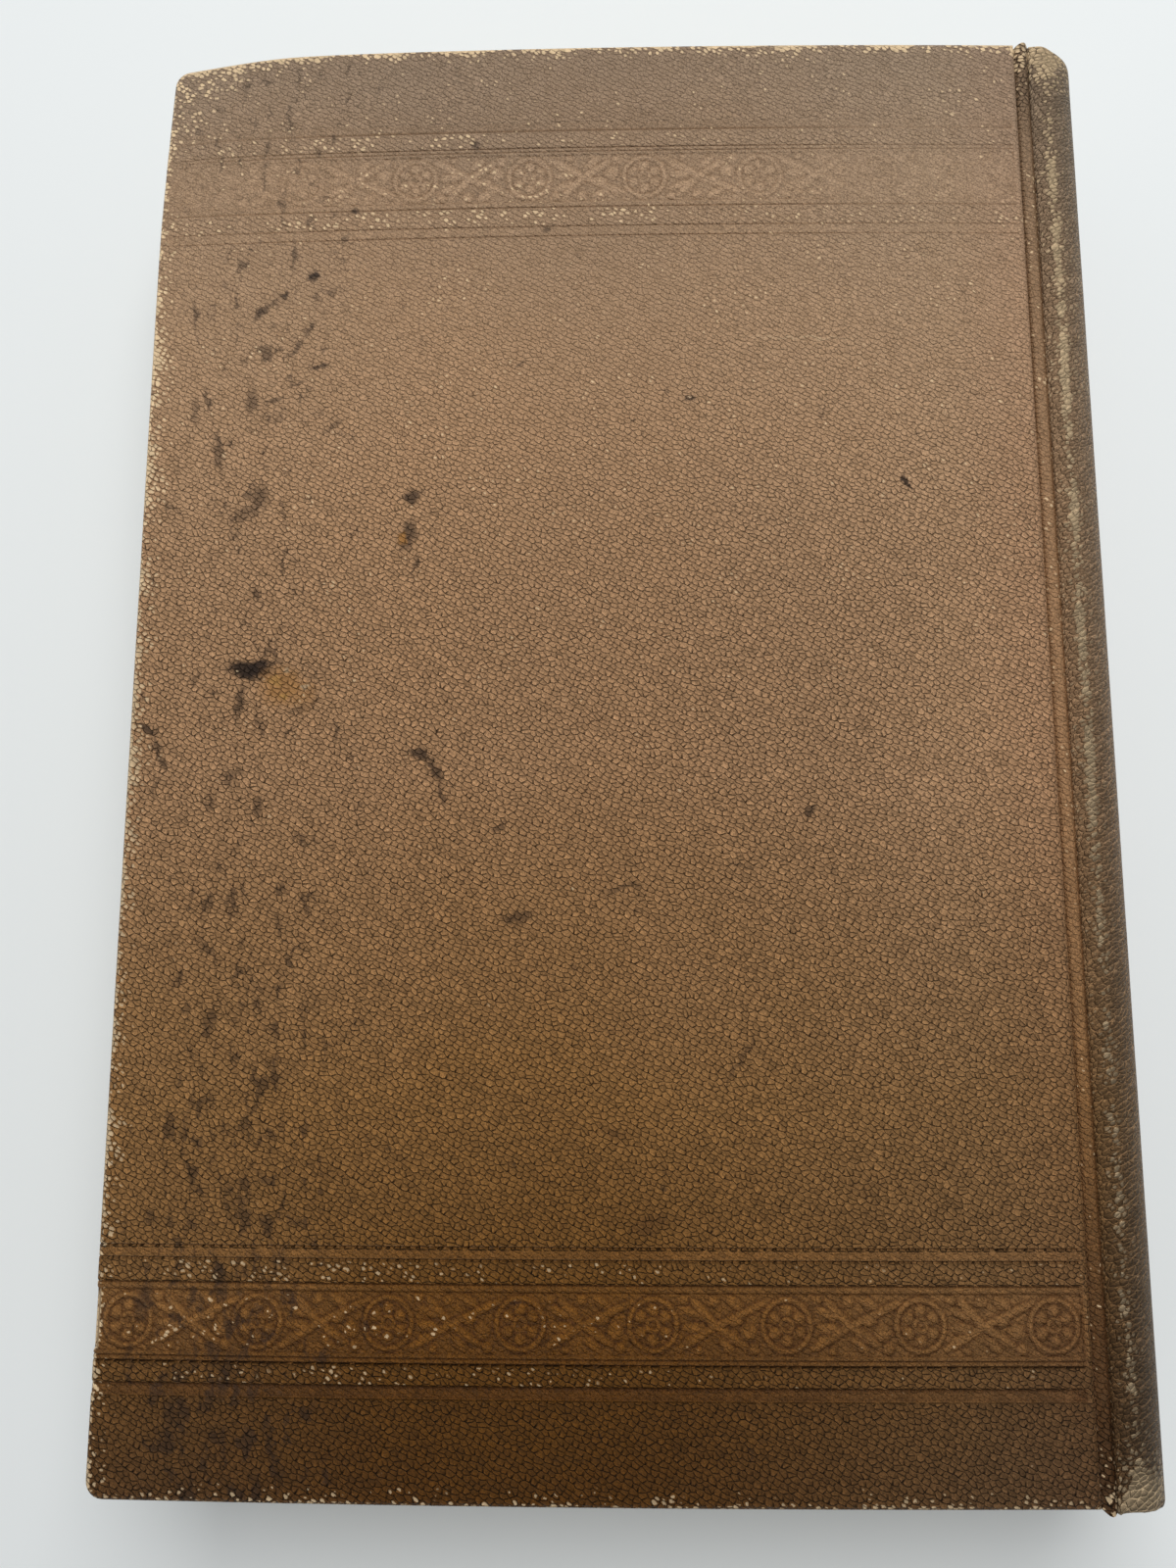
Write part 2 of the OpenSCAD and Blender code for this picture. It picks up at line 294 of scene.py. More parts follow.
def cloth_sheet(name, columns, rows):
    """The outer sheet of a cover's cloth, with its face up at z = 0."""
    bpy.ops.mesh.primitive_cube_add(size=1, location=(MID_X, 0, -COVER_T / 2),
                                    scale=(COVER_W, 2 * HALF_H, COVER_T))
    piece = bpy.context.object
    piece.name = name
    only(piece)
    bpy.ops.object.transform_apply(location=True, rotation=True, scale=True)
    pick(piece, "EDGE", lambda e: centre(e).x < FORE_X + NEAR and abs(centre(e).z + COVER_T / 2) < NEAR)
    bpy.ops.mesh.bevel(offset=CORNER_R, segments=6, affect="EDGES")
    pick(piece, "EDGE", lambda e: abs(e.verts[0].co.z - e.verts[1].co.z) < NEAR / 10
         and (centre(e).x < JOINT_X - NEAR or centre(e).z > -NEAR))
    bpy.ops.mesh.bevel(offset=EDGE_R, segments=4, affect="EDGES")
    cut_across(piece, columns, "x")
    cut_across(piece, rows, "y")
    pick(piece, "FACE", lambda f: centre(f).z < -COVER_T + NEAR and centre(f).x > FORE_X + TURN_IN
         and abs(centre(f).y) < HALF_H - TURN_IN)
    bpy.ops.mesh.delete(type="FACE")
    return piece


columns = [FORE_X + TURN_IN, BAND_END - 0.4 * MM, BAND_END]
columns += even_places(FORE_X + FIRST_COLUMN, BAND_END - 2.5 * MM, COLUMN)
turn_in_rows = [HALF_H - TURN_IN, TURN_IN - HALF_H]
stamp_rows = [side * y * MM for y, _ in STAMP for side in (-1, 1)]
floor_rows = [side * y for y in even_places(FLOOR_IN, FLOOR_OUT, 2.7 * MM)[1:-1] for side in (-1, 1)]
field_rows = even_places(-STAMP[0][0] * MM, STAMP[0][0] * MM, FIELD_ROW)[1:-1]
edge_places = even_places(STAMP[-1][0] * MM, HALF_H - 3 * MM, FIELD_ROW)[1:]
edge_rows = [side * y for y in edge_places for side in (-1, 1)]
rows = stamp_rows + floor_rows + field_rows + edge_rows + turn_in_rows
rear_cloth = cloth_sheet("rear_cover_cloth.worn", columns, rows)
only(rear_cloth)
for vertex in rear_cloth.data.vertices:
    if vertex.co.z > -1.0 * MM and vertex.co.x < BAND_END - 0.1 * MM:
        vertex.co.z -= pressed_depth(vertex.co.x, vertex.co.y)
apply_modifier(rear_cloth, "SOLIDIFY", thickness=CLOTH_T, offset=-1, use_even_offset=False)
print("rear sheet:", len(rear_cloth.data.polygons), "faces")

# %% [markdown]
# The ornament is a row of rings round six-petalled flowers, with crossed stems, leaves and buds between
# them. It is modelled as the stamp itself: one repeat is built from rings, flattened balls and tapered
# leaves, and copied along the band on a flat plate. Each part is half sunk in the plate.

# %% Parts of the ornament
RING_PITCH = 18.7
RING_R = 3.35
RING_LINE = 0.36
RELIEF = 0.36
RING_COUNT = 8
BAND_Y = 88.5
stamp_parts = []


def raised(piece, at, turn=0, size=(1, 1, 1)):
    """Sizes a part of the stamp, turns it and puts it on the plate, in millimetres."""
    piece.scale = [s * MM for s in size]
    piece.rotation_euler.z = math.radians(turn)
    piece.location = Vector((at[0], at[1], 0)) * MM
    stamp_parts.append(piece)


def bud(at, width):
    """A flattened ball, for a bud or a petal."""
    bpy.ops.mesh.primitive_uv_sphere_add(segments=16, ring_count=10, radius=1)
    raised(bpy.context.object, at, size=(width / 2, width / 2, RELIEF * 1.1))


def stem(start, end, width, blunt=1.0):
    """A long flattened ball: slim as a stem, or wide in its middle as a leaf."""
    length = math.dist(start, end)
    bpy.ops.mesh.primitive_uv_sphere_add(segments=20, ring_count=16, radius=1)
    piece = bpy.context.object
    for vertex in piece.data.vertices:
        along = abs(vertex.co.x)
        vertex.co.x = math.copysign(along ** (1 / blunt), vertex.co.x)
    middle = ((start[0] + end[0]) / 2, (start[1] + end[1]) / 2)
    turn = math.degrees(math.atan2(end[1] - start[1], end[0] - start[0]))
    raised(piece, middle, turn, (length / 2, width / 2, RELIEF))


def ring(radius, line):
    """A ring round the flower's middle, a touch taller than it is wide."""
    bpy.ops.mesh.primitive_torus_add(major_radius=radius, minor_radius=line,
                                     major_segments=64, minor_segments=10)
    raised(bpy.context.object, (0, 0), size=(1, 1.03, 1))

# %% [markdown]
# Petals turn round the flower's middle in a loop. The stems and leaves are listed in
# millimetres from the middle of the ring at their left.

# %% One repeat of the ornament
EYE_R, EYE_LINE = 0.85, 0.26
PETALS, PETAL_AT, PETAL_W = 6, 2.0, 1.7
ring(RING_R, RING_LINE)
ring(EYE_R, EYE_LINE)
for k in range(PETALS):
    angle = math.radians(30 + 360 / PETALS * k)
    bud((PETAL_AT * math.cos(angle), PETAL_AT * math.sin(angle)), PETAL_W)
for start, end, width in [
    ((3.0, -3.5), (9.2, 0.1), 1.25), ((8.2, -0.4), (16.4, 3.3), 1.15),
    ((5.4, 3.5), (9.1, -0.4), 1.3), ((8.2, 0.4), (13.3, -3.0), 1.3),
]:
    stem(start, end, width, blunt=1.8)
for start, end, width in [
    ((4.0, 2.3), (7.2, 0.9), 1.3), ((4.1, -0.3), (7.6, -0.5), 1.5), ((4.2, -2.0), (7.5, -1.3), 1.1),
    ((10.2, 3.7), (12.8, 2.3), 1.5), ((9.1, -1.6), (11.3, -3.6), 1.4), ((10.6, 0.3), (12.6, 0.7), 1.2),
]:
    stem(start, end, width)
for at, width in [
    ((14.1, -3.1), 1.6), ((13.4, -0.9), 2.4), ((4.3, 3.4), 1.5), ((8.6, 3.2), 1.7), ((6.4, -3.4), 1.1),
]:
    bud(at, width)
for part in stamp_parts:
    part.select_set(True)
bpy.context.view_layer.objects.active = stamp_parts[0]
bpy.ops.object.transform_apply(location=True, rotation=True, scale=True)
bpy.ops.object.join()
stamp = bpy.context.object
stamp.name = "stamp"
print("one repeat of the stamp:", len(stamp.data.polygons), "faces")

# %% [markdown]
# The repeat is copied along the band, and a plate closes the stamp behind it. The tail stamp is mirrored
# for the head, and both are flattened by the share of the depth that is left. The cloth on the floor of
# the band is cut fine, and Shrinkwrap presses it on the stamp from above, point by point. What is between
# the parts lands on the plate, so the floor stays at its depth.

# %% The stamp for both bands
STAMP_SHIFT = -0.15
only(stamp)
bpy.ops.object.mode_set(mode="EDIT")
bpy.ops.mesh.select_all(action="SELECT")
first_ring = (0.5 - RING_COUNT / 2) * RING_PITCH + STAMP_SHIFT
bpy.ops.transform.translate(value=Vector((first_ring, -BAND_Y, 0)) * MM)
bpy.ops.transform.translate(value=(MID_X, 0, -FLOOR_DEPTH))
bpy.ops.object.mode_set(mode="OBJECT")
apply_modifier(stamp, "ARRAY", count=RING_COUNT, use_relative_offset=False, use_constant_offset=True,
               constant_offset_displace=(RING_PITCH * MM, 0, 0))
bpy.ops.mesh.primitive_grid_add(x_subdivisions=60, y_subdivisions=1, size=0.2,
                                location=(0, -0.1, -FLOOR_DEPTH))
stamp.select_set(True)
bpy.context.view_layer.objects.active = stamp
bpy.ops.object.join()
only(stamp)
bpy.ops.object.duplicate()
bpy.ops.object.mode_set(mode="EDIT")
bpy.ops.mesh.select_all(action="SELECT")
bpy.ops.transform.mirror(constraint_axis=(False, True, False), center_override=(0, 0, 0))
bpy.ops.object.mode_set(mode="OBJECT")
for piece, at in ((stamp, -1), (bpy.context.object, 1)):
    for vertex in piece.data.vertices:
        vertex.co.z *= left_of_stamp(vertex.co.x, at)
stamp.select_set(True)
bpy.context.view_layer.objects.active = stamp
bpy.ops.object.join()

# %% Press the cloth on the stamp
FINE_CUTS = 13
LIFT = 2 * MM
on_floor = lambda f: (FLOOR_IN < abs(centre(f).y) < FLOOR_OUT and centre(f).x < BAND_END - 0.5 * MM
                      and f.normal.z > 0.5 and centre(f).z > -1.3 * FLOOR_DEPTH - 0.1 * MM)
pick(rear_cloth, "FACE", on_floor)
bpy.ops.mesh.subdivide(number_cuts=FINE_CUTS)
pick(rear_cloth, "VERT", lambda v: FLOOR_IN + NEAR < abs(v.co.y) < FLOOR_OUT - NEAR
     and v.co.x < BAND_END - 0.5 * MM and abs(v.co.z + pressed_depth(v.co.x, v.co.y)) < 2 * NEAR)
bpy.ops.transform.translate(value=(0, 0, LIFT))
rear_cloth.vertex_groups.new(name="pressed")
bpy.ops.object.vertex_group_assign()
bpy.ops.object.mode_set(mode="OBJECT")
apply_modifier(rear_cloth, "SHRINKWRAP", target=stamp, vertex_group="pressed", wrap_method="PROJECT",
               use_project_z=True, use_negative_direction=True, use_positive_direction=False)
bpy.data.objects.remove(stamp)
pick(rear_cloth, "VERT", lambda v: FLOOR_IN + NEAR < abs(v.co.y) < FLOOR_OUT - NEAR
     and v.co.x < BAND_END - 0.5 * MM and -1.3 * FLOOR_DEPTH - 0.02 * MM < v.co.z < 0.3 * MM)
bpy.ops.mesh.vertices_smooth(factor=0.5, repeat=3)
bpy.ops.object.mode_set(mode="OBJECT")
print("rear sheet with its ornament:", len(rear_cloth.data.polygons), "faces")

# %% [markdown]
# Book cloth rubs through where it is touched most: along edges and corners, on ridges and on the tops
# of the relief. `worn` says how much, from 0 to 1, and `plain` says where the stamp has pressed the
# grain flat. `raised` marks the tops of the ornament, which the finish lightens, partly as rubbed cloth and
# partly as a painted highlight, and `hollow` the folds, which it darkens with painted shade. All four are
# painted on the vertices while the sheet is still flat, and the finish reads them.

# %% Wear, flattened grain, and the marks for painted highlight and shade of the rear cover
def edge_wear(x, y, z):
    """Wear along the edges and on the two fore-edge corners of a cover."""
    inside = min(x - FORE_X, HALF_H - abs(y))
    at_corner = math.hypot(x - FORE_X, HALF_H - abs(y))
    uneven = 0.95 + 0.4 * noise.noise(Vector((x, y, 0)) / (5 * MM))
    if HALF_H + y < x - FORE_X:
        uneven *= 0.6
    rim = uneven * (1.0 - smooth_step(0.4 * MM, 1.6 * MM, inside))
    corner = (0.7 if y > 0 else 0.45) * (1 - smooth_step(2 * MM, 7 * MM, at_corner))
    return max(rim, corner)


def height_in_band(co):
    """From 0 on the floor of a band to 1 on the tops of its ornament."""
    x, y, z = co
    if not FLOOR_IN < abs(y) < FLOOR_OUT or z < -0.8 * MM:
        return 0.0
    depth = pressed_depth(x, y)
    return min(max((z + depth) / depth, 0), 1) * (left_of_stamp(x, y) / HEAD_SHARE if y > 0 else 1)


def rear_wear(co):
    """Wear of the rear cover: its edges, the strips beside the ornament, its tops and the bent corner."""
    x, y, z = co
    if z < -1.6 * MM:
        return 0.35
    head = y > 0
    left = 1 - smooth_step(0.25, 0.75, (x - FORE_X) / COVER_W)
    strip_in = abs(abs(y) / MM - 81.6) < 1.4
    strip_out = abs(abs(y) / MM - 95.4) < 1.3
    strips = 0.20 * left + 0.12 if strip_in else 0.0
    strips = max(strips, 0.18 * left + (0.08 if head else 0.10)) if strip_out else strips
    strips *= 0.35 + 0.65 * smooth_step(3 * MM, 16 * MM, x - FORE_X)
    tops = 0.0
    if FLOOR_IN < abs(y) < FLOOR_OUT:
        tops = (0.12 + 0.26 * left) * smooth_step(0.5, 0.95, height_in_band(co))
    from_tip = HALF_H - y + 0.2 * (x - FORE_X)
    bent = 0.5 * smooth_step(-1 * MM, 9 * MM, past_crease(x, y))
    bent *= 1 - smooth_step(13 * MM, 26 * MM, from_tip)
    return max(edge_wear(x, y, z), strips, tops, bent)


def rear_plain(co):
    """How flat the grain is: flat in the bands, and worn down towards the head and along the joint."""
    y = abs(co.y) / MM
    inside = any(low <= y <= high for low, high in SMOOTH_ZONES)
    if inside and co.x < BAND_END + 0.1 * MM and co.z > -1.2 * MM:
        return 0.9
    at_head = 0.78 * smooth_step(-10 * MM, 75 * MM, co.y)
    at_joint = 0.35 * smooth_step(35 * MM, 62 * MM, co.x - MID_X) * smooth_step(-60 * MM, 0, co.y)
    return max(at_head, at_joint)


def lay_grain(piece, places=None):
    """A UV map in metres: from above on level faces, and from the side on upright ones."""
    layer = piece.data.uv_layers.new(name="grain")
    for face in piece.data.polygons:
        n = face.normal
        for corner in face.loop_indices:
            index = piece.data.loops[corner].vertex_index
            co = piece.data.vertices[index].co
            if places:
                layer.data[corner].uv = places[index]
            elif abs(n.z) > 0.6:
                layer.data[corner].uv = (co.x, co.y)
            elif abs(n.y) > abs(n.x):
                layer.data[corner].uv = (co.x, co.z + co.y)
            else:
                layer.data[corner].uv = (co.z + co.x, co.y)


def set_on_book(piece, side):
    """Lifts a rear piece to its warped place, or turns a front piece over to face the table."""
    only(piece)
    for vertex in piece.data.vertices:
        if side == "rear":
            vertex.co.z += BOOK_T + warp(vertex.co.x, vertex.co.y)
        else:
            vertex.co.z = -vertex.co.z


SHARP_FOLD = 0.03 * MM


def hollows(piece):
    """How far each vertex lies under the mean of its neighbours: 1 in a sharp fold, 0 on level cloth."""
    around = [[] for _ in piece.data.vertices]
    for edge in piece.data.edges:
        a, b = edge.vertices
        around[a].append(piece.data.vertices[b].co.z)
        around[b].append(piece.data.vertices[a].co.z)
    under = [sum(zs) / len(zs) - v.co.z for v, zs in zip(piece.data.vertices, around)]
    return [min(max(value / SHARP_FOLD, 0), 1) for value in under]


# How deep each fold lies, for the painted shade that darkens the folds.
layer = rear_cloth.data.attributes.new("hollow", "FLOAT", "POINT")
layer.data.foreach_set("value", hollows(rear_cloth))
paint(rear_cloth, "worn", rear_wear)
paint(rear_cloth, "raised", height_in_band)
paint(rear_cloth, "plain", rear_plain)
lay_grain(rear_cloth)
set_on_book(rear_cloth, "rear")
tidy_piece(rear_cloth)

# %% [markdown]
# The board and the pasted-down endpaper under this cloth bend as softly as the cloth does. The board is a
# block with rounded corners. The paper is a flat sheet, sunk where it leaves the turned-in cloth.

# %% Board and pasted endpaper of the rear cover
board_low, board_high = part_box("front_board")
BOARD_T = board_high.z - board_low.z
board_h = board_high.y
board_x = board_high.x
board_middle = ((FORE_X + CLOTH_T + board_x) / 2, 0, -CLOTH_T - BOARD_T / 2)
bpy.ops.mesh.primitive_cube_add(size=1, location=board_middle,
                                scale=(board_x - FORE_X - CLOTH_T, 2 * board_h, BOARD_T))
rear_board = bpy.context.object
rear_board.name = "rear_board.soft"
bpy.ops.object.transform_apply(location=True, rotation=True, scale=True)
pick(rear_board, "EDGE", lambda e: centre(e).x < FORE_X + CLOTH_T + NEAR
     and abs(centre(e).z + CLOTH_T + BOARD_T / 2) < NEAR)
bpy.ops.mesh.bevel(offset=CORNER_R - CLOTH_T, segments=5, affect="EDGES")
cut_across(rear_board, even_places(FORE_X + 4 * MM, board_x - 4 * MM, 6 * MM), "x")
cut_across(rear_board, even_places(4 * MM - board_h, board_h - 4 * MM, 6 * MM), "y")
set_on_book(rear_board, "rear")
tidy_piece(rear_board)

paper_low, paper_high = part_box("front_pastedown")
PAPER_T = 0.25 * MM
bpy.ops.mesh.primitive_plane_add(size=1, location=((paper_low.x + paper_high.x) / 2, 0, -COVER_T))
rear_paste = bpy.context.object
rear_paste.name = "rear_pastedown.soft"
rear_paste.scale = (paper_high.x - paper_low.x, 2 * paper_high.y, 1)
bpy.ops.object.transform_apply(location=True, rotation=True, scale=True)
window_x, window_y = FORE_X + TURN_IN, HALF_H - TURN_IN
STEP_W = 0.6 * MM
paper_columns = even_places(window_x + 5 * MM, paper_high.x - 4 * MM, 6 * MM)
cut_across(rear_paste, [window_x, window_x + STEP_W] + paper_columns, "x")
steps = [side * (window_y - back) for side in (-1, 1) for back in (0, STEP_W)]
cut_across(rear_paste, steps + even_places(5 * MM - window_y, window_y - 5 * MM, 6 * MM), "y")
pick(rear_paste, "VERT", lambda v: v.co.x > window_x + 0.5 * MM and abs(v.co.y) < window_y - 0.5 * MM)
bpy.ops.transform.translate(value=(0, 0, CLOTH_T))
bpy.ops.object.mode_set(mode="OBJECT")
apply_modifier(rear_paste, "SOLIDIFY", thickness=PAPER_T, offset=-1, use_even_offset=False)
set_on_book(rear_paste, "rear")
tidy_piece(rear_paste)

# %% [markdown]
# The front cover lies on the table. Its cloth is the same sheet with wider rows, without bands or marks,
# and `set_on_book` turns it over.

# %% The front cover's cloth
front_columns = [FORE_X + TURN_IN] + even_places(FORE_X + FIRST_COLUMN, JOINT_X - 3 * MM, 9 * MM)
front_rows = even_places(3 * MM - HALF_H, HALF_H - 3 * MM, 9 * MM) + turn_in_rows
front_cloth = cloth_sheet("front_cover_cloth.worn", front_columns, front_rows)
apply_modifier(front_cloth, "SOLIDIFY", thickness=CLOTH_T, offset=-1, use_even_offset=False)
paint(front_cloth, "worn", lambda co: edge_wear(*co) if co.z > -1.6 * MM else 0.35)
paint(front_cloth, "plain", lambda co: 0.0)
lay_grain(front_cloth)
set_on_book(front_cloth, "front")
tidy_piece(front_cloth)

# %% [markdown]
# The spine's cloth is drawn as a section and a path. The section runs from the rear joint over the
# shoulder, round the back and over the front shoulder. The path runs along the spine, and at head and tail
# it turns round the cord-like cap and back inside. A grid has one column for each point of the section
# and one row for each station of the path. Its normals look inwards, so Solidify thickens along them.

# %% Section of the spine
SHOULDER_R = 5 * MM
CREST_SET = 5.25 * MM
CREST_DROP = 0.4 * MM
BACK_R = 40 * MM
back_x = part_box("spine_cloth")[1].x - BACK_R
mid_z = BOOK_T / 2
shoulder_x = JOINT_X + CREST_SET
shoulder_z = BOOK_T - CREST_DROP - SHOULDER_R
back_angle = math.atan2(shoulder_z - mid_z, shoulder_x - back_x)
CAP_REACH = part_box("spine_cloth")[1].y - HALF_H


def upper_half(depth):
    """Points of the section from the rear joint to the middle of the back, sunk by a depth."""
    tuck = [(JOINT_X + 2.15 * MM, BOOK_T - 2.3 * MM - depth),
            (JOINT_X + 2.55 * MM, BOOK_T - 1.75 * MM - depth)]
    start = math.radians(121)
    shoulder = []
    for k in range(15):
        angle = start + (back_angle - start) * k / 14
        radius = SHOULDER_R - depth
        shoulder.append((shoulder_x + radius * math.cos(angle), shoulder_z + radius * math.sin(angle)))
    back = []
    for k in range(1, 12):
        angle = back_angle * (1 - k / 12)
        radius = BACK_R - depth
        back.append((back_x + radius * math.cos(angle), mid_z + radius * math.sin(angle)))
    return tuck + shoulder + back


def whole_section(depth):
    """The section from the rear joint to the front joint."""
    half = upper_half(depth)
    middle = [(back_x + BACK_R - depth, mid_z)]
    return half + middle + [(x, BOOK_T - z) for x, z in reversed(half)]


# %% Path of the spine's cloth
CAP_R = 0.7 * MM
CAP_DEPTH = 2 * CAP_R
end_y = HALF_H + CAP_REACH
turned = [(end_y - TURN_IN, CAP_DEPTH), (end_y - TURN_IN / 2, CAP_DEPTH), (end_y - CAP_R, CAP_DEPTH)]
for k in range(1, 8):
    angle = math.pi * k / 8
    turned.append((end_y - CAP_R + CAP_R * math.sin(angle), CAP_R + CAP_R * math.cos(angle)))
turned.append((end_y - CAP_R, 0))
outside = [(y, 0) for y in even_places(end_y - 2 * MM, 2 * MM - end_y, 4 * MM)]
path = turned + outside + [(-y, depth) for y, depth in reversed(turned)]
section_size = len(whole_section(0))
bpy.ops.mesh.primitive_grid_add(x_subdivisions=section_size - 1, y_subdivisions=len(path) - 1, size=0.1)
spine_cloth = bpy.context.object
spine_cloth.name = "spine_cloth.worn"
sections = {depth: whole_section(depth) for _, depth in path}
arc_places = [0.0]
outer = sections[0]
for (x0, z0), (x1, z1) in zip(outer, outer[1:]):
    arc_places.append(arc_places[-1] + math.hypot(x1 - x0, z1 - z0))
path_places = [0.0]
for (y0, d0), (y1, d1) in zip(path, path[1:]):
    path_places.append(path_places[-1] + math.hypot(y1 - y0, d1 - d0))


DENT = 0.17 * MM
HEAD_CUT = 3.3 * MM


def dent(x, y, z):
    """Slow unevenness of old cloth on the spine, up to a sixth of a millimetre each way."""
    return noise.noise(Vector((x, y, z)) / (11 * MM)) * DENT


def cut_corner(x, y):
    """The cap at the head is worn away askew towards the back of the spine."""
    towards_back = smooth_step(-2.5 * MM, 7 * MM, x - shoulder_x)
    return HEAD_CUT * towards_back * smooth_step(end_y - 15 * MM, end_y, y)


spine_uv, spine_worn = [], []
for index, vertex in enumerate(spine_cloth.data.vertices):
    row, column = divmod(index, section_size)
    y, depth = path[row]
    x, z = sections[depth][column]
    outward = Vector((x - back_x + 12 * MM, 0, z - mid_z)).normalized()
    inside_joint = column < 3 or column > section_size - 4
    flat_back = 0.85 * smooth_step(1 * MM, 4.5 * MM, x - shoulder_x)
    shift = 0 if inside_joint else (dent(x, y, z) - DENT) * (1 - flat_back)
    ragged = noise.noise(Vector((arc_places[column] / (2.2 * MM), y * 31, 7))) * 0.35 * MM
    near_end = smooth_step(end_y - 4 * MM, end_y, abs(y))
    y_worn = y - math.copysign(abs(ragged) * near_end, y) - cut_corner(x, y)
    if y < 0:
        y_worn -= 0.6 * MM * near_end * math.exp(-(((x - shoulder_x) / MM + 2.8) / 1.4) ** 2)
    vertex.co = Vector((x, y_worn, z)) + outward * shift
    spine_uv.append((arc_places[column], path_places[row]))
    across = (x - shoulder_x) / MM
    middle = 0.84 + 0.1 * math.exp(-((y - 5 * MM) / (50 * MM)) ** 2)
    patchy = middle + 0.25 * noise.noise(Vector((y / (9 * MM), 0, 3)))
    ridge = math.exp(-(across + 0.1) ** 2) * patchy
    cap = 1.15 * smooth_step(end_y - 14 * MM, end_y - 3 * MM, abs(y) + (1.0 * MM if y > 0 else -1.5 * MM))
    spine_worn.append(max(ridge, cap * (0.6 + 0.4 * math.exp(-((across - 0.6) / 2.4) ** 2)), 0.16))
layer = spine_cloth.data.attributes.new("worn", "FLOAT", "POINT")
layer.data.foreach_set("value", spine_worn)
paint(spine_cloth, "plain", lambda co: 0.2)
lay_grain(spine_cloth, spine_uv)
apply_modifier(spine_cloth, "SOLIDIFY", thickness=CLOTH_T, offset=1, use_even_offset=False)
tidy_piece(spine_cloth)

# %% [markdown]
# The stiff paper inside the spine's cloth follows the cloth, so it ends a little inside the worn cap.

# %% Stiff paper in the spine
INLAY_T = 0.3 * MM
inlay_curve = [p for p in whole_section(0.58 * MM) if p[0] > shoulder_x + 4.6 * MM]
inlay_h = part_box("spine_inlay")[1].y
inlay_rows = even_places(-inlay_h, inlay_h, 6 * MM)
bpy.ops.mesh.primitive_grid_add(x_subdivisions=len(inlay_curve) - 1, y_subdivisions=len(inlay_rows) - 1,
                                size=0.1)
spine_inlay = bpy.context.object
spine_inlay.name = "spine_inlay.cut"
for index, vertex in enumerate(spine_inlay.data.vertices):
    row, column = divmod(index, len(inlay_curve))
    x, z = inlay_curve[column]
    vertex.co = (x, inlay_rows[row] - 1.1 * cut_corner(x, inlay_rows[row]), z)
apply_modifier(spine_inlay, "SOLIDIFY", thickness=INLAY_T, offset=-1, use_even_offset=False)
tidy_piece(spine_inlay)

# %% [markdown]
# In each joint the cloth runs from the board to the spine without a break, and so does the endpaper
# inside it. The solids are parted there because a solid can't bend. A strip of cloth and a strip of
# paper bridge the gap. A strip's section lists distances from the joint and depths under the face of the
# book, in millimetres.

# %% Strips that bridge the joints
STRIP_ROWS = 75


def groove_painted_shade(co):
    """Painted shadow along both sides of the strip, where the board's edge and the spine's shoulder shade
    it, and a darkening all over it that grows towards the tail.
    """
    across = (co.x - JOINT_X) / MM
    sides = max(math.exp(-((across - 0.1) / 0.35) ** 2), math.exp(-((across - 2.6) / 0.45) ** 2))
    return min(1.2, 0.6 + 0.6 * sides + 0.4 * smooth_step(0.35 * HALF_H, 0.95 * HALF_H, -co.y))


def joint_strip(name, side, section, half_length, thickness, lower=None):
    """A strip along a joint. `lower` gives how far it sinks further at a place."""
    bpy.ops.mesh.primitive_grid_add(x_subdivisions=len(section) - 1, y_subdivisions=STRIP_ROWS, size=0.1)
    piece = bpy.context.object
    piece.name = name
    places = []
    run = [0.0]
    for (x0, d0), (x1, d1) in zip(section, section[1:]):
        run.append(run[-1] + math.hypot(x1 - x0, d1 - d0) * MM)
    for index, vertex in enumerate(piece.data.vertices):
        row, column = divmod(index, len(section))
        across, depth = section[column]
        y = -half_length + 2 * half_length * row / STRIP_ROWS
        if lower:
            depth += lower(across, y)
            droop = (0.45 + 0.7 * smooth_step(HALF_H - 5 * MM, HALF_H, -y)) * MM
            y += math.copysign(droop, y) * abs(y) / HALF_H * math.exp(-((across - 1.6) / 1.1) ** 2)
        height = BOOK_T - depth * MM
        vertex.co = (JOINT_X + across * MM, y, height if side == "rear" else BOOK_T - height)
        places.append((run[column], y))
    lay_grain(piece, places)
    tidy_piece(piece)
    only(piece)
    bpy.ops.object.mode_set(mode="EDIT")
    bpy.ops.mesh.select_all(action="SELECT")
    bpy.ops.mesh.normals_make_consistent(inside=False)
    bpy.ops.object.mode_set(mode="OBJECT")
    middle = piece.data.polygons[len(piece.data.polygons) // 2]
    if (middle.normal.z > 0) != (side == "rear"):
        piece.data.flip_normals()
    apply_modifier(piece, "SOLIDIFY", thickness=thickness, offset=-1, use_even_offset=False)
    paint(piece, "worn", lambda co: 0.1 + 0.5 * smooth_step(HALF_H - 13 * MM, HALF_H - 2 * MM, abs(co.y)))
    paint(piece, "plain", lambda co: 0.85 * smooth_step(-HALF_H + 8 * MM, -HALF_H + 16 * MM, -abs(co.y)))
    # Painted shadow along the sides of the strip, and a darkening that grows towards the tail.
    paint(piece, "hollow", groove_painted_shade)
    bpy.ops.object.shade_smooth_by_angle(angle=math.radians(60))
    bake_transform(piece)
    return piece


def towards_tail(across, y):
    """The strip sinks into one crease near the tail, and swells where the caps spread over its ends."""
    sunk = 0.75 * smooth_step(0.4 * HALF_H, 0.95 * HALF_H, -y)
    swollen = 0.55 * smooth_step(HALF_H - 12 * MM, HALF_H - 2 * MM, abs(y))
    return sunk * math.exp(-((across - 1.1) / 1.1) ** 2) - swollen * math.exp(-((across - 1.5) / 1.0) ** 2)


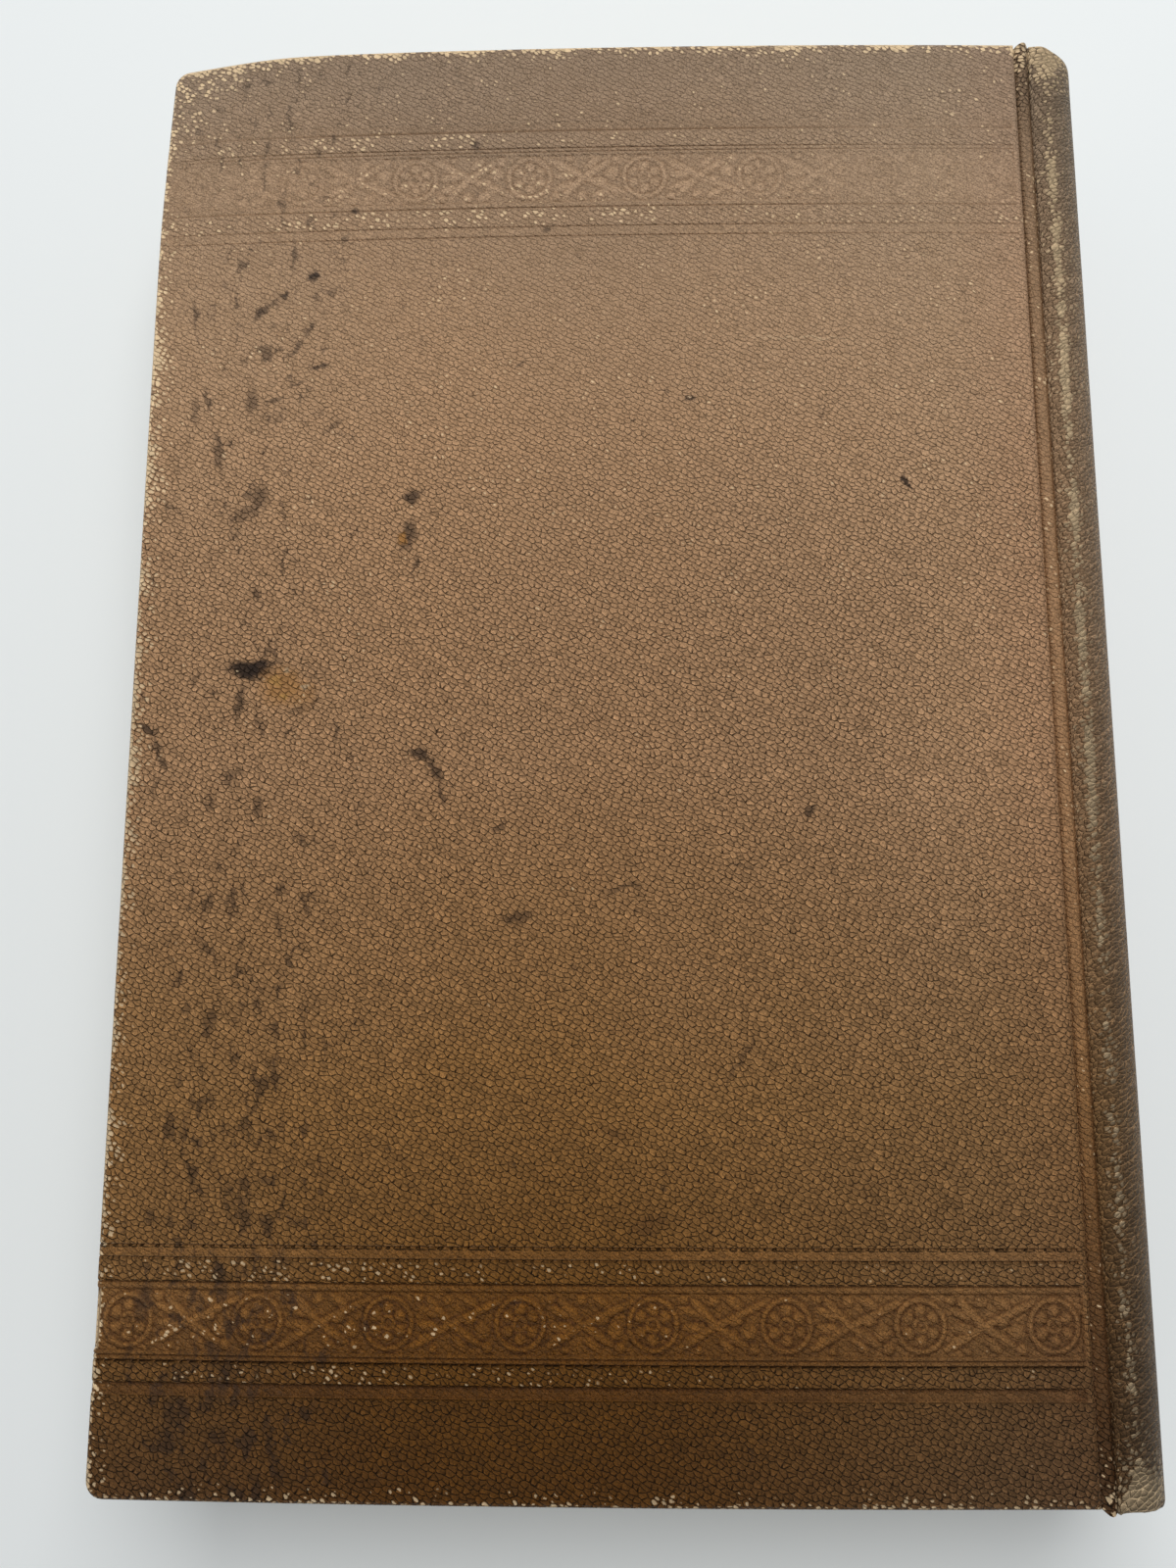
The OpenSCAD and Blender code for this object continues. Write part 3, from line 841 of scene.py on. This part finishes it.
CLOTH_SECTION = [(0.03, 2.9), (0.06, 2.1), (0.22, 1.7), (0.42, 1.3), (0.62, 1.05), (0.9, 0.95), (1.3, 0.92),
                 (1.7, 0.93), (2.0, 1.0), (2.25, 1.25), (2.5, 1.6), (2.8, 1.85), (3.2, 2.05)]
PAPER_SECTION = [(-0.5, 3.42), (-0.1, 3.4), (0.1, 3.3), (0.2, 3.0), (0.45, 2.5), (0.8, 2.1), (1.4, 1.75),
                 (1.9, 1.8), (2.3, 2.15), (2.6, 2.6), (2.75, 3.2), (2.9, 3.7), (3.2, 3.95)]
for side in ("rear", "front"):
    cloth_strip = joint_strip(f"{side}_joint_cloth", side, CLOTH_SECTION, HALF_H - 0.1 * MM,
                              CLOTH_T, towards_tail)
    paper_strip = joint_strip(f"{side}_joint_paper", side, PAPER_SECTION, HALF_H - 3.5 * MM, 0.22 * MM)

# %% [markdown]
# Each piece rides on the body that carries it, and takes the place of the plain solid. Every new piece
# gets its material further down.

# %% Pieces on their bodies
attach(rear_cloth, "rear_cover")
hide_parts("rear_cover_cloth")
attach(rear_board, "rear_cover")
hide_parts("rear_board")
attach(rear_paste, "rear_cover")
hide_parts("rear_pastedown")
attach(front_cloth, "front_cover")
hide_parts("front_cover_cloth")
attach(spine_cloth, "book_block")
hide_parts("spine_cloth")
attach(spine_inlay, "book_block")
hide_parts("spine_inlay")

# %% [markdown]
# Materials are built from nodes. These helpers keep the node code short: `add` makes any node and
# wires or sets its inputs, and the others give the result of one common node.

# %% Node helpers
def add(tree, kind, inputs=None, **settings):
    """Makes a shader node, sets it and fills its inputs with values or with other nodes' outputs."""
    made = tree.nodes.new("ShaderNode" + kind)
    for name, value in settings.items():
        setattr(made, name, value)
    for name, value in (inputs or {}).items():
        if isinstance(value, bpy.types.NodeSocket):
            tree.links.new(value, made.inputs[name])
        else:
            made.inputs[name].default_value = value
    return made


def calc(tree, operation, a, b=0.0, c=0.0):
    """The result of a Math node."""
    return add(tree, "Math", {0: a, 1: b, 2: c}, operation=operation).outputs[0]


def scaled(tree, colour, factor):
    """A colour or a direction times a number."""
    return add(tree, "VectorMath", {0: colour, 3: factor}, operation="SCALE").outputs[0]


def along(tree, place, axis):
    """One coordinate of a place: x, y or z."""
    return add(tree, "SeparateXYZ", {0: place}).outputs["xyz".index(axis)]


def painted(tree, name):
    """A number that was painted on the vertices."""
    return add(tree, "Attribute", attribute_name=name).outputs["Fac"]


def fade(tree, value, low, high, out_low=0.0, out_high=1.0):
    """Maps low..high smoothly to out_low..out_high, and holds the ends."""
    return add(tree, "MapRange", {0: value, 1: low, 2: high, 3: out_low, 4: out_high},
               interpolation_type="SMOOTHSTEP").outputs[0]


def blend_colour(tree, factor, a, b, blend_type="MIX"):
    """Colour a where the factor is 0, and b, or a times b, where it is 1."""
    made = add(tree, "Mix", {0: factor, 6: a, 7: b}, data_type="RGBA", blend_type=blend_type)
    return made.outputs[2]


def cloudy(tree, place, size, detail=2.0, roughness=0.5):
    """Noise whose blotches are about this size."""
    settings = {"Vector": place, "Scale": 1 / size, "Detail": detail, "Roughness": roughness}
    return add(tree, "TexNoise", settings).outputs[0]


def srgb(red, green, blue):
    """A colour as it reads on screen, 0 to 255, turned into the linear values that a shader takes."""
    def linear(v):
        v /= 255
        return v / 12.92 if v < 0.04045 else ((v + 0.055) / 1.055) ** 2.4
    return (linear(red), linear(green), linear(blue), 1)


def new_material(name):
    """A new material, its node tree and its shader."""
    material = bpy.data.materials.new(name)
    material.use_nodes = True
    return material, material.node_tree, material.node_tree.nodes["Principled BSDF"]

# %% [markdown]
# Book cloth is dyed, starched and rolled between steel cylinders that emboss a grain of little pebbles.
# The pebbles come from a Voronoi pattern on the cloth's own UV map, turned so that they lie in slanting
# rows. The crease on the lower side of each pebble gets a painted shadow, and their tops show bare cream
# threads where the cloth is worn.

# %% Book cloth
PEBBLE_LONG, PEBBLE_WIDE = 1.10 * MM, 0.74 * MM
PEBBLE_TURN = math.radians(-30)
IRREGULAR = 0.7


def faded_with_painted_sheen(tree, place):
    """Colour of the cloth: deep brown at the tail, and paler and greyer towards the head, partly faded by
    light and dust and partly a painted sheen of the window light.
    """
    up = calc(tree, "SUBTRACT", along(tree, place, "y"), 18 * MM)
    up = calc(tree, "MULTIPLY_ADD", cloudy(tree, place, 50 * MM, 3.0), 36 * MM, up)
    # The paler, greyer stops towards the head are partly faded cloth and partly a painted sheen of the
    # window light.
    ramp = add(tree, "ValToRGB", {0: calc(tree, "MULTIPLY_ADD", up, 0.5 / HALF_H, 0.5)})
    stops = ramp.color_ramp.elements
    stops[0].color, stops[1].color = srgb(96, 58, 12), srgb(145, 123, 102)
    for at, colour in [
        (0.10, (121, 78, 23)), (0.26, (168, 121, 68)), (0.46, (195, 150, 108)), (0.80, (166, 133, 102)),
    ]:
        stops.new(at).color = srgb(*colour)
    across = along(tree, place, "x")
    dusty = calc(tree, "ADD", fade(tree, across, MID_X, JOINT_X, 0.0, 0.11),
                 fade(tree, across, JOINT_X + 1.5 * MM, JOINT_X + 10 * MM, 0.0, 0.22))
    dusty = calc(tree, "ADD", dusty, fade(tree, across, FORE_X + 5 * MM, FORE_X + 50 * MM, 0.05, 0.0))
    return blend_colour(tree, dusty, ramp.outputs[0], srgb(196, 178, 152))


def book_cloth(name, stains=None):
    """Pebbled cloth, with a function that lays stains over its colour where there are any."""
    material, tree, shader = new_material(name)
    grain_map = add(tree, "UVMap", uv_map="grain").outputs[0]
    place = add(tree, "TexCoord").outputs["Object"]
    worn = painted(tree, "worn")
    plain = painted(tree, "plain")
    grained = calc(tree, "SUBTRACT", 1.0, plain)
    laid = add(tree, "Mapping", {"Vector": grain_map, "Rotation": (0, 0, PEBBLE_TURN),
                                 "Scale": (PEBBLE_LONG, PEBBLE_WIDE, 1)}, vector_type="TEXTURE").outputs[0]
    wobble = add(tree, "TexNoise", {"Vector": laid, "Scale": 0.3, "Detail": 1.0}).outputs["Color"]
    shaken = add(tree, "VectorMath", {0: laid, 1: scaled(tree, wobble, 0.9)}).outputs[0]
    cells = {"Vector": shaken, "Scale": 1.0, "Randomness": IRREGULAR}
    pebbles = add(tree, "TexVoronoi", cells, voronoi_dimensions="2D", feature="F1").outputs
    creases = add(tree, "TexVoronoi", cells, voronoi_dimensions="2D", feature="DISTANCE_TO_EDGE").outputs[0]
    offset = add(tree, "VectorMath", {0: shaken, 1: pebbles["Position"]}, operation="SUBTRACT").outputs[0]
    uphill = along(tree, offset, "y")
    dome = calc(tree, "SUBTRACT", 1.0, calc(tree, "POWER", pebbles["Distance"], 2.4))
    crease = fade(tree, creases, 0.0, 0.15, 0.35, 1.0)
    scale_like = calc(tree, "MULTIPLY_ADD", uphill, -0.7, calc(tree, "MULTIPLY", dome, 0.45))
    weave = cloudy(tree, place, 0.26 * MM, 2.0, 0.7)
    relief = calc(tree, "MULTIPLY", calc(tree, "MULTIPLY", scale_like, crease), grained)
    relief = calc(tree, "MULTIPLY_ADD", weave, 0.14, relief)
    up = along(tree, place, "y")
    height = fade(tree, up, -60 * MM, 70 * MM, 3.1 * MM, 1.5 * MM)
    bump = add(tree, "Bump", {"Strength": 1.0, "Distance": height, "Height": relief})

    # Colour: cloth faded and given a painted sheen towards the head, speckled, with painted shadow on the
    # lower side of its creases and painted highlights on the tops of the ornament
    base = faded_with_painted_sheen(tree, place)
    speckle = cloudy(tree, place, 1.7 * MM, 3.0, 0.7)
    speckled = fade(tree, speckle, 0.35, 0.75, 0.0, 0.35)
    base = blend_colour(tree, speckled, base, (0.55, 0.5, 0.42, 1), "MULTIPLY")
    base = scaled(tree, base, fade(tree, weave, 0.34, 0.66, 0.66, 1.34))
    drawn = add(tree, "SeparateColor", {0: pebbles["Color"]})
    spread = fade(tree, up, -60 * MM, 70 * MM, 0.28, 0.05)
    faded_top = calc(tree, "MULTIPLY_ADD", calc(tree, "SUBTRACT", drawn.outputs[2], 0.5), spread, 1.0)
    base = scaled(tree, base, faded_top)
    # Painted shadow: the crease on the lower side of each pebble, away from the window light, is darkened.
    shaded_side = fade(tree, uphill, -0.35, -0.05, 1.0, 0.08)
    broken = fade(tree, cloudy(tree, place, 1.3 * MM, 1.0), 0.35, 0.6, 0.55, 1.0)
    shaded_side = calc(tree, "MULTIPLY", grained, calc(tree, "MULTIPLY", shaded_side, broken))
    painted_crease_shadow = calc(tree, "MULTIPLY", fade(tree, creases, 0.0, 0.14, 1.0, 0.0), shaded_side)
    base = blend_colour(tree, painted_crease_shadow, base, (0.12, 0.08, 0.05, 1), "MULTIPLY")
    # Painted highlight: the tops of the ornament are lightened, partly as rubbed cloth and partly as light
    # catching them.
    base = scaled(tree, base, calc(tree, "MULTIPLY_ADD", painted(tree, "raised"), 0.3, 1.0))
    # Painted shade: sharp folds of the relief and the sides of the joint strips are darkened.
    hollow = calc(tree, "MULTIPLY", painted(tree, "hollow"), 0.85)
    base = blend_colour(tree, hollow, base, (0.42, 0.33, 0.24, 1), "MULTIPLY")
    # The smooth, sunk parts of the bands are darkened, more so towards the tail.
    towards_tail_end = fade(tree, up, -40 * MM, 60 * MM, 1.0, 0.15)
    pressed_flat = calc(tree, "MULTIPLY", fade(tree, plain, 0.82, 0.9), towards_tail_end)
    base = blend_colour(tree, pressed_flat, base, (0.80, 0.76, 0.70, 1), "MULTIPLY")
    gloss = 0.45
    if stains:
        base, stained = stains(tree, place, base)
        gloss = calc(tree, "MULTIPLY_ADD", stained, -0.2, gloss)

    # Wear: single pebbles lose their tops first, and much-worn places show bare threads all over
    patches = fade(tree, cloudy(tree, place, 8 * MM, 3.0, 0.6), 0.38, 0.68)
    amount = calc(tree, "MULTIPLY", worn, calc(tree, "MULTIPLY_ADD", patches, 0.45, 0.75))
    stray = fade(tree, up, -60 * MM, 40 * MM, 0.06, 0.2)
    amount = calc(tree, "MULTIPLY_ADD", patches, stray, amount)
    fibres = cloudy(tree, place, 0.5 * MM, 2.0, 0.6)
    chance = drawn.outputs[0]
    luck = calc(tree, "SUBTRACT", calc(tree, "MULTIPLY", amount, 1.25), chance)
    chosen = fade(tree, luck, 0.02, 0.12)
    from_top = calc(tree, "MULTIPLY_ADD", calc(tree, "SUBTRACT", fibres, 0.5), 0.9, pebbles["Distance"])
    reach = calc(tree, "MULTIPLY_ADD", amount, 0.5, 0.07)
    reach = calc(tree, "MULTIPLY", reach, fade(tree, drawn.outputs[1], 0.0, 1.0, 0.65, 1.25))
    bare = calc(tree, "MULTIPLY", chosen, fade(tree, calc(tree, "SUBTRACT", reach, from_top), -0.04, 0.05))
    rubbed_through = fade(tree, calc(tree, "MULTIPLY_ADD", fibres, 0.7, amount), 1.2, 1.5)
    bare = calc(tree, "MAXIMUM", bare, rubbed_through)
    soiled = fade(tree, cloudy(tree, place, 1.6 * MM, 4.0, 0.65), 0.35, 0.65, 0.74, 1.0)
    bare_thread = scaled(tree, srgb(246, 216, 172)[:3], soiled)
    bare_thread = blend_colour(tree, fade(tree, worn, 0.3, 0.7, 0.34, 0.12), bare_thread, base)
    colour = blend_colour(tree, bare, base, bare_thread)
    shader.inputs["Specular Tint"].default_value = (1, 0.86, 0.66, 1)
    tree.links.new(colour, shader.inputs["Base Color"])
    tree.links.new(bump.outputs[0], shader.inputs["Normal"])
    tree.links.new(fade(tree, speckle, 0.3, 0.8, 0.52, 0.6), shader.inputs["Roughness"])
    if stains:
        tree.links.new(gloss, shader.inputs["Specular IOR Level"])
    else:
        shader.inputs["Specular IOR Level"].default_value = gloss
    return material

# %% [markdown]
# The rear cover has old spots of ink and damp. The table gives each one by its place from the middle of
# the cover, its half length and half width in millimetres, its turn in degrees and its strength.

# %% Spots and stains
BLOT_W, BLOT_L = 1.9 * MM, 3.8 * MM
INK, DAMP, TAN = srgb(50, 40, 36), srgb(70, 46, 32), srgb(176, 124, 66)
PALE, PALE_TAN = srgb(206, 180, 144), srgb(196, 150, 84)
MARKS = [
    (-52.4, 6.6, 4.4, 1.7, -6, 0.95, INK), (-50.6, 6.6, 2.2, 1.9, 10, 0.7, INK),
    (-53.4, 1.4, 0.9, 3.2, -8, 0.7, INK), (-47.0, 3.9, 4.0, 3.6, 0, 0.62, TAN),
    (-43.6, 2.6, 2.4, 2.8, 20, 0.35, TAN), (-47.9, 4.6, 1.3, 1.1, 20, 0.6, PALE_TAN),
    (-46.3, 2.4, 0.9, 0.7, -25, 0.7, PALE_TAN), (-43.4, 3.6, 0.6, 0.5, 0, 0.7, PALE),
    (-46.2, 6.4, 0.6, 0.5, 0, 0.6, PALE), (-49.4, 7.4, 2.8, 0.7, 8, 0.6, INK),
    (-44.2, 0.2, 2.2, 0.4, 20, 0.4, INK), (-25.4, -6.7, 2.3, 1.2, -24, 0.8, INK),
    (-23.0, -9.4, 2.6, 1.0, -62, 0.75, INK), (-21.9, -13.2, 2.2, 0.5, -78, 0.6, INK),
    (-44.2, 72.0, 1.1, 1.0, 0, 0.95, INK), (-27.6, 34.1, 1.9, 1.3, 15, 0.8, INK),
    (-27.9, 27.8, 3.0, 1.5, 80, 0.72, INK), (-26.7, 23.0, 1.9, 0.4, 78, 0.6, INK),
    (-28.9, 27.2, 0.9, 0.9, 0, 0.8, TAN), (-49.1, 68.7, 1.3, 0.7, 30, 0.85, INK),
    (-52.7, 65.9, 1.7, 0.8, 50, 0.7, INK), (-51.2, 67.4, 1.2, 0.5, 30, 0.5, INK),
    (-41.6, 69.0, 1.5, 0.9, 0, 0.45, INK), (-44.6, 62.9, 2.0, 0.8, 52, 0.6, INK),
    (-46.8, 59.4, 2.2, 0.6, 60, 0.6, INK), (-42.8, 56.2, 1.7, 0.6, 5, 0.75, INK),
    (-50.0, 50.6, 2.1, 0.6, 25, 0.6, INK), (-46.4, 53.3, 1.4, 0.5, 20, 0.6, INK),
    (-53.7, 50.6, 1.2, 2.6, 0, 0.55, INK), (-63.5, 65.5, 0.5, 3.0, 6, 0.6, INK),
    (-62.8, 49.0, 0.7, 3.0, 0, 0.45, INK), (-58.6, 42.0, 0.9, 4.6, 8, 0.5, INK),
    (-51.8, 34.0, 1.8, 2.9, -16, 0.6, INK), (-54.4, 31.6, 2.2, 1.5, 20, 0.45, INK),
    (-66.0, 33.3, 2.4, 0.5, -40, 0.5, INK), (-10.4, -31.6, 2.8, 1.2, 5, 0.6, INK),
    (5.2, -27.3, 3.4, 0.7, 14, 0.5, INK), (-67.6, -2.6, 2.4, 0.7, -28, 0.8, INK),
    (-65.4, -6.6, 3.6, 0.6, -66, 0.65, INK), (-65.9, -11.6, 0.6, 2.2, 0, 0.45, INK),
    (-50.0, -14.8, 0.8, 1.9, 0, 0.55, INK), (-54.5, -10.8, 0.6, 2.2, 0, 0.45, INK),
    (-13.3, -18.1, 1.8, 0.4, 40, 0.6, INK), (33.3, -15.8, 1.3, 0.5, 60, 0.7, INK),
    (16.3, 49.8, 1.0, 0.7, 0, 0.8, INK), (49.6, 36.0, 1.8, 0.35, -60, 0.9, INK),
    (22.2, -52.2, 5.0, 0.5, 58, 0.5, INK), (-38.1, 83.6, 1.1, 0.8, 0, 0.8, INK),
    (23.0, -24.0, 3.2, 0.4, -6, 0.4, INK), (8.5, -75.0, 3.2, 1.5, 20, 0.4, DAMP),
    (4.0, -62.5, 2.6, 1.2, -15, 0.35, DAMP), (-18.5, 94.6, 0.9, 1.1, 0, 0.7, INK),
    (-6.5, 79.6, 0.9, 0.7, 0, 0.6, INK), (-10.5, 55.9, 1.4, 0.4, 25, 0.6, INK),
    (34.0, 60.1, 12.0, 0.16, 0, 0.4, PALE), (-63.5, -86.0, 1.6, 3.4, -10, 0.6, INK),
    (-52.5, -82.5, 1.2, 2.2, 12, 0.6, INK), (-51.0, -95.5, 1.4, 4.2, -14, 0.5, INK),
    (-58.5, -101.0, 1.5, 3.0, 8, 0.5, INK), (-40.5, 46.0, 2.4, 0.5, 30, 0.5, INK),
]


def add_marks(tree, place, base):
    """Lays the marks and a dark mottling of the fore-edge side over the cloth's colour."""
    shake = add(tree, "TexNoise", {"Vector": place, "Scale": 1 / (1.5 * MM), "Detail": 3.0}).outputs["Color"]
    shake = add(tree, "VectorMath", {0: shake, 1: (0.5, 0.5, 0.5)}, operation="SUBTRACT").outputs[0]
    ragged = add(tree, "VectorMath", {0: place, 1: scaled(tree, shake, 2.6 * MM)}).outputs[0]
    from_left = calc(tree, "SUBTRACT", along(tree, place, "x"), FORE_X)
    from_tail = calc(tree, "ADD", along(tree, place, "y"), HALF_H)
    near = calc(tree, "MULTIPLY", fade(tree, from_left, 22 * MM, 46 * MM, 1.0, 0.0),
                fade(tree, from_left, 1 * MM, 14 * MM, 0.3, 1.0))
    near = calc(tree, "MULTIPLY", near, fade(tree, from_tail, 20 * MM, 110 * MM, 1.0, 0.55))
    narrow, tall = 1 / BLOT_W, 1 / BLOT_L
    drawn = add(tree, "Mapping", {"Vector": ragged, "Scale": (narrow, tall, tall)}).outputs[0]
    blots = cloudy(tree, drawn, 1.0, 4.0, 0.6)
    mottled = fade(tree, calc(tree, "MULTIPLY_ADD", near, 0.168, blots), 0.65, 0.78, 0.0, 0.6)
    base = blend_colour(tree, mottled, base, INK)
    ruddy = fade(tree, from_left, COVER_W - 16 * MM, COVER_W, 0.0, 0.4)
    base = blend_colour(tree, ruddy, base, (0.95, 0.86, 0.88, 1), "MULTIPLY")
    stained = mottled
    for x, y, half_long, half_wide, turn, strength, colour in MARKS:
        frame_of_mark = {
            "Vector": ragged, "Location": (MID_X + x * MM, y * MM, BOOK_T),
            "Rotation": (0, 0, math.radians(turn)), "Scale": (half_long * MM, half_wide * MM, 0.1),
        }
        laid = add(tree, "Mapping", frame_of_mark, vector_type="TEXTURE").outputs[0]
        distance = add(tree, "VectorMath", {0: laid}, operation="LENGTH").outputs["Value"]
        mark = fade(tree, distance, 0.35, 1.2, strength, 0.0)
        base = blend_colour(tree, mark, base, colour)
        stained = calc(tree, "MAXIMUM", stained, mark)
    return base, stained

# %% [markdown]
# The edges of the pages show as fine lines, because the noise is stretched along the leaves. The
# endpapers are the same paper without lines.

# %% Other finishes
def paper(name, light, dark, layered):
    """Old paper. Layered paper shows the edges of the pages as fine lines."""
    material, tree, shader = new_material(name)
    place = add(tree, "TexCoord").outputs["Object"]
    tint = cloudy(tree, place, 25 * MM, 4.0, 0.6)
    colour = blend_colour(tree, fade(tree, tint, 0.3, 0.7, 0.0, 0.5), light, dark)
    fibre = cloudy(tree, place, 0.6 * MM, 3.0)
    height = calc(tree, "MULTIPLY", fibre, 0.3)
    if layered:
        stretched = add(tree, "Mapping", {"Vector": place, "Scale": (60, 60, 9000)}).outputs[0]
        leaves = add(tree, "TexNoise", {"Vector": stretched, "Scale": 1.0, "Detail": 2.0}).outputs[0]
        folded = add(tree, "Mapping", {"Vector": place, "Scale": (12, 12, 900)}).outputs[0]
        gathers = add(tree, "TexNoise", {"Vector": folded, "Scale": 1.0, "Detail": 1.0}).outputs[0]
        colour = blend_colour(tree, fade(tree, leaves, 0.35, 0.6, 0.55, 0.0), colour, srgb(120, 98, 68))
        colour = blend_colour(tree, fade(tree, gathers, 0.3, 0.5, 0.4, 0.0), colour, srgb(104, 82, 54))
        height = calc(tree, "ADD", leaves, gathers)
    bump = add(tree, "Bump", {"Strength": 0.6, "Distance": 0.12 * MM, "Height": height})
    tree.links.new(colour, shader.inputs["Base Color"])
    tree.links.new(bump.outputs[0], shader.inputs["Normal"])
    shader.inputs["Roughness"].default_value = 0.85
    return material


cloth_plain = book_cloth("pebbled book cloth")
page_edges = paper("page edges", srgb(205, 186, 148), srgb(186, 160, 116), True)
endpaper = paper("endpaper", srgb(218, 203, 168), srgb(200, 180, 138), False)
pasteboard = paper("pasteboard", srgb(150, 128, 98), srgb(128, 106, 78), True)
lining = paper("lining", srgb(206, 190, 152), srgb(186, 168, 128), False)
finishes = {
    "text_block": page_edges, "rear_flyleaf": endpaper, "front_flyleaf": endpaper, "spine_lining": lining,
    "spine_inlay": pasteboard, "rear_board": pasteboard, "front_board": pasteboard,
    "rear_pastedown": endpaper, "front_pastedown": endpaper, "spine_cloth": cloth_plain,
    "rear_cover_cloth": cloth_plain, "front_cover_cloth": cloth_plain,
}
for node, finish in finishes.items():
    frame["nodes"][node].data.materials.clear()
    frame["nodes"][node].data.materials.append(finish)
for piece in [o for o in scene.objects if o.type == "MESH" and "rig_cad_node" not in o]:
    piece.data.materials.clear()
    piece.data.materials.append(cloth_plain)
for piece in (rear_paste, bpy.data.objects["rear_joint_paper"], bpy.data.objects["front_joint_paper"]):
    piece.data.materials[0] = endpaper
rear_board.data.materials[0] = pasteboard
spine_inlay.data.materials[0] = pasteboard
rear_cloth.data.materials[0] = book_cloth("stained book cloth", add_marks)

# %% [markdown]
# A pale floor, one window-sized light high up beyond the head of the book, and the soft light of a room.
# The head half lies nearer to the window, so it looks lighter and greyer than the tail half, as in the
# photograph. Rays that the cloth reflects meet a darker room, so its gloss stays low.
# The cloth's own colour also paints part of that lighter, greyer head as a sheen.

# %% Floor and light
FLOOR_GAP = 0.2 * MM
ROOM_LIGHT = 0.285
bpy.ops.mesh.primitive_plane_add(size=3, location=(0, 0, -FLOOR_GAP))
floor = bpy.context.object
floor.name = "floor"
floor_material, floor_tree, floor_shader = new_material("pale floor")
floor_shader.inputs["Base Color"].default_value = srgb(232, 236, 236)
floor_shader.inputs["Roughness"].default_value = 0.9
floor.data.materials.append(floor_material)


def soft_light(name, place, target, width, depth, power):
    """A rectangular light that faces a target."""
    bpy.ops.object.light_add(type="AREA", location=place)
    light = bpy.context.object
    light.name = name
    light.data.shape = "RECTANGLE"
    light.data.size, light.data.size_y = width, depth
    light.data.energy = power
    aim = Vector(target) - Vector(place)
    light.rotation_euler = aim.to_track_quat("-Z", "Y").to_euler()


soft_light("window light", (0.06, 0.40, 0.92), (0, 0, 0), 0.7, 0.8, 8.9)
world = bpy.data.worlds.new("soft room")
scene.world = world
world.use_nodes = True
ray = add(world.node_tree, "LightPath").outputs["Is Glossy Ray"]
room = blend_colour(world.node_tree, ray, (0.97, 0.98, 1.0, 1), (0.25, 0.24, 0.23, 1))
world.node_tree.links.new(room, world.node_tree.nodes["Background"].inputs[0])
world.node_tree.nodes["Background"].inputs[1].default_value = ROOM_LIGHT
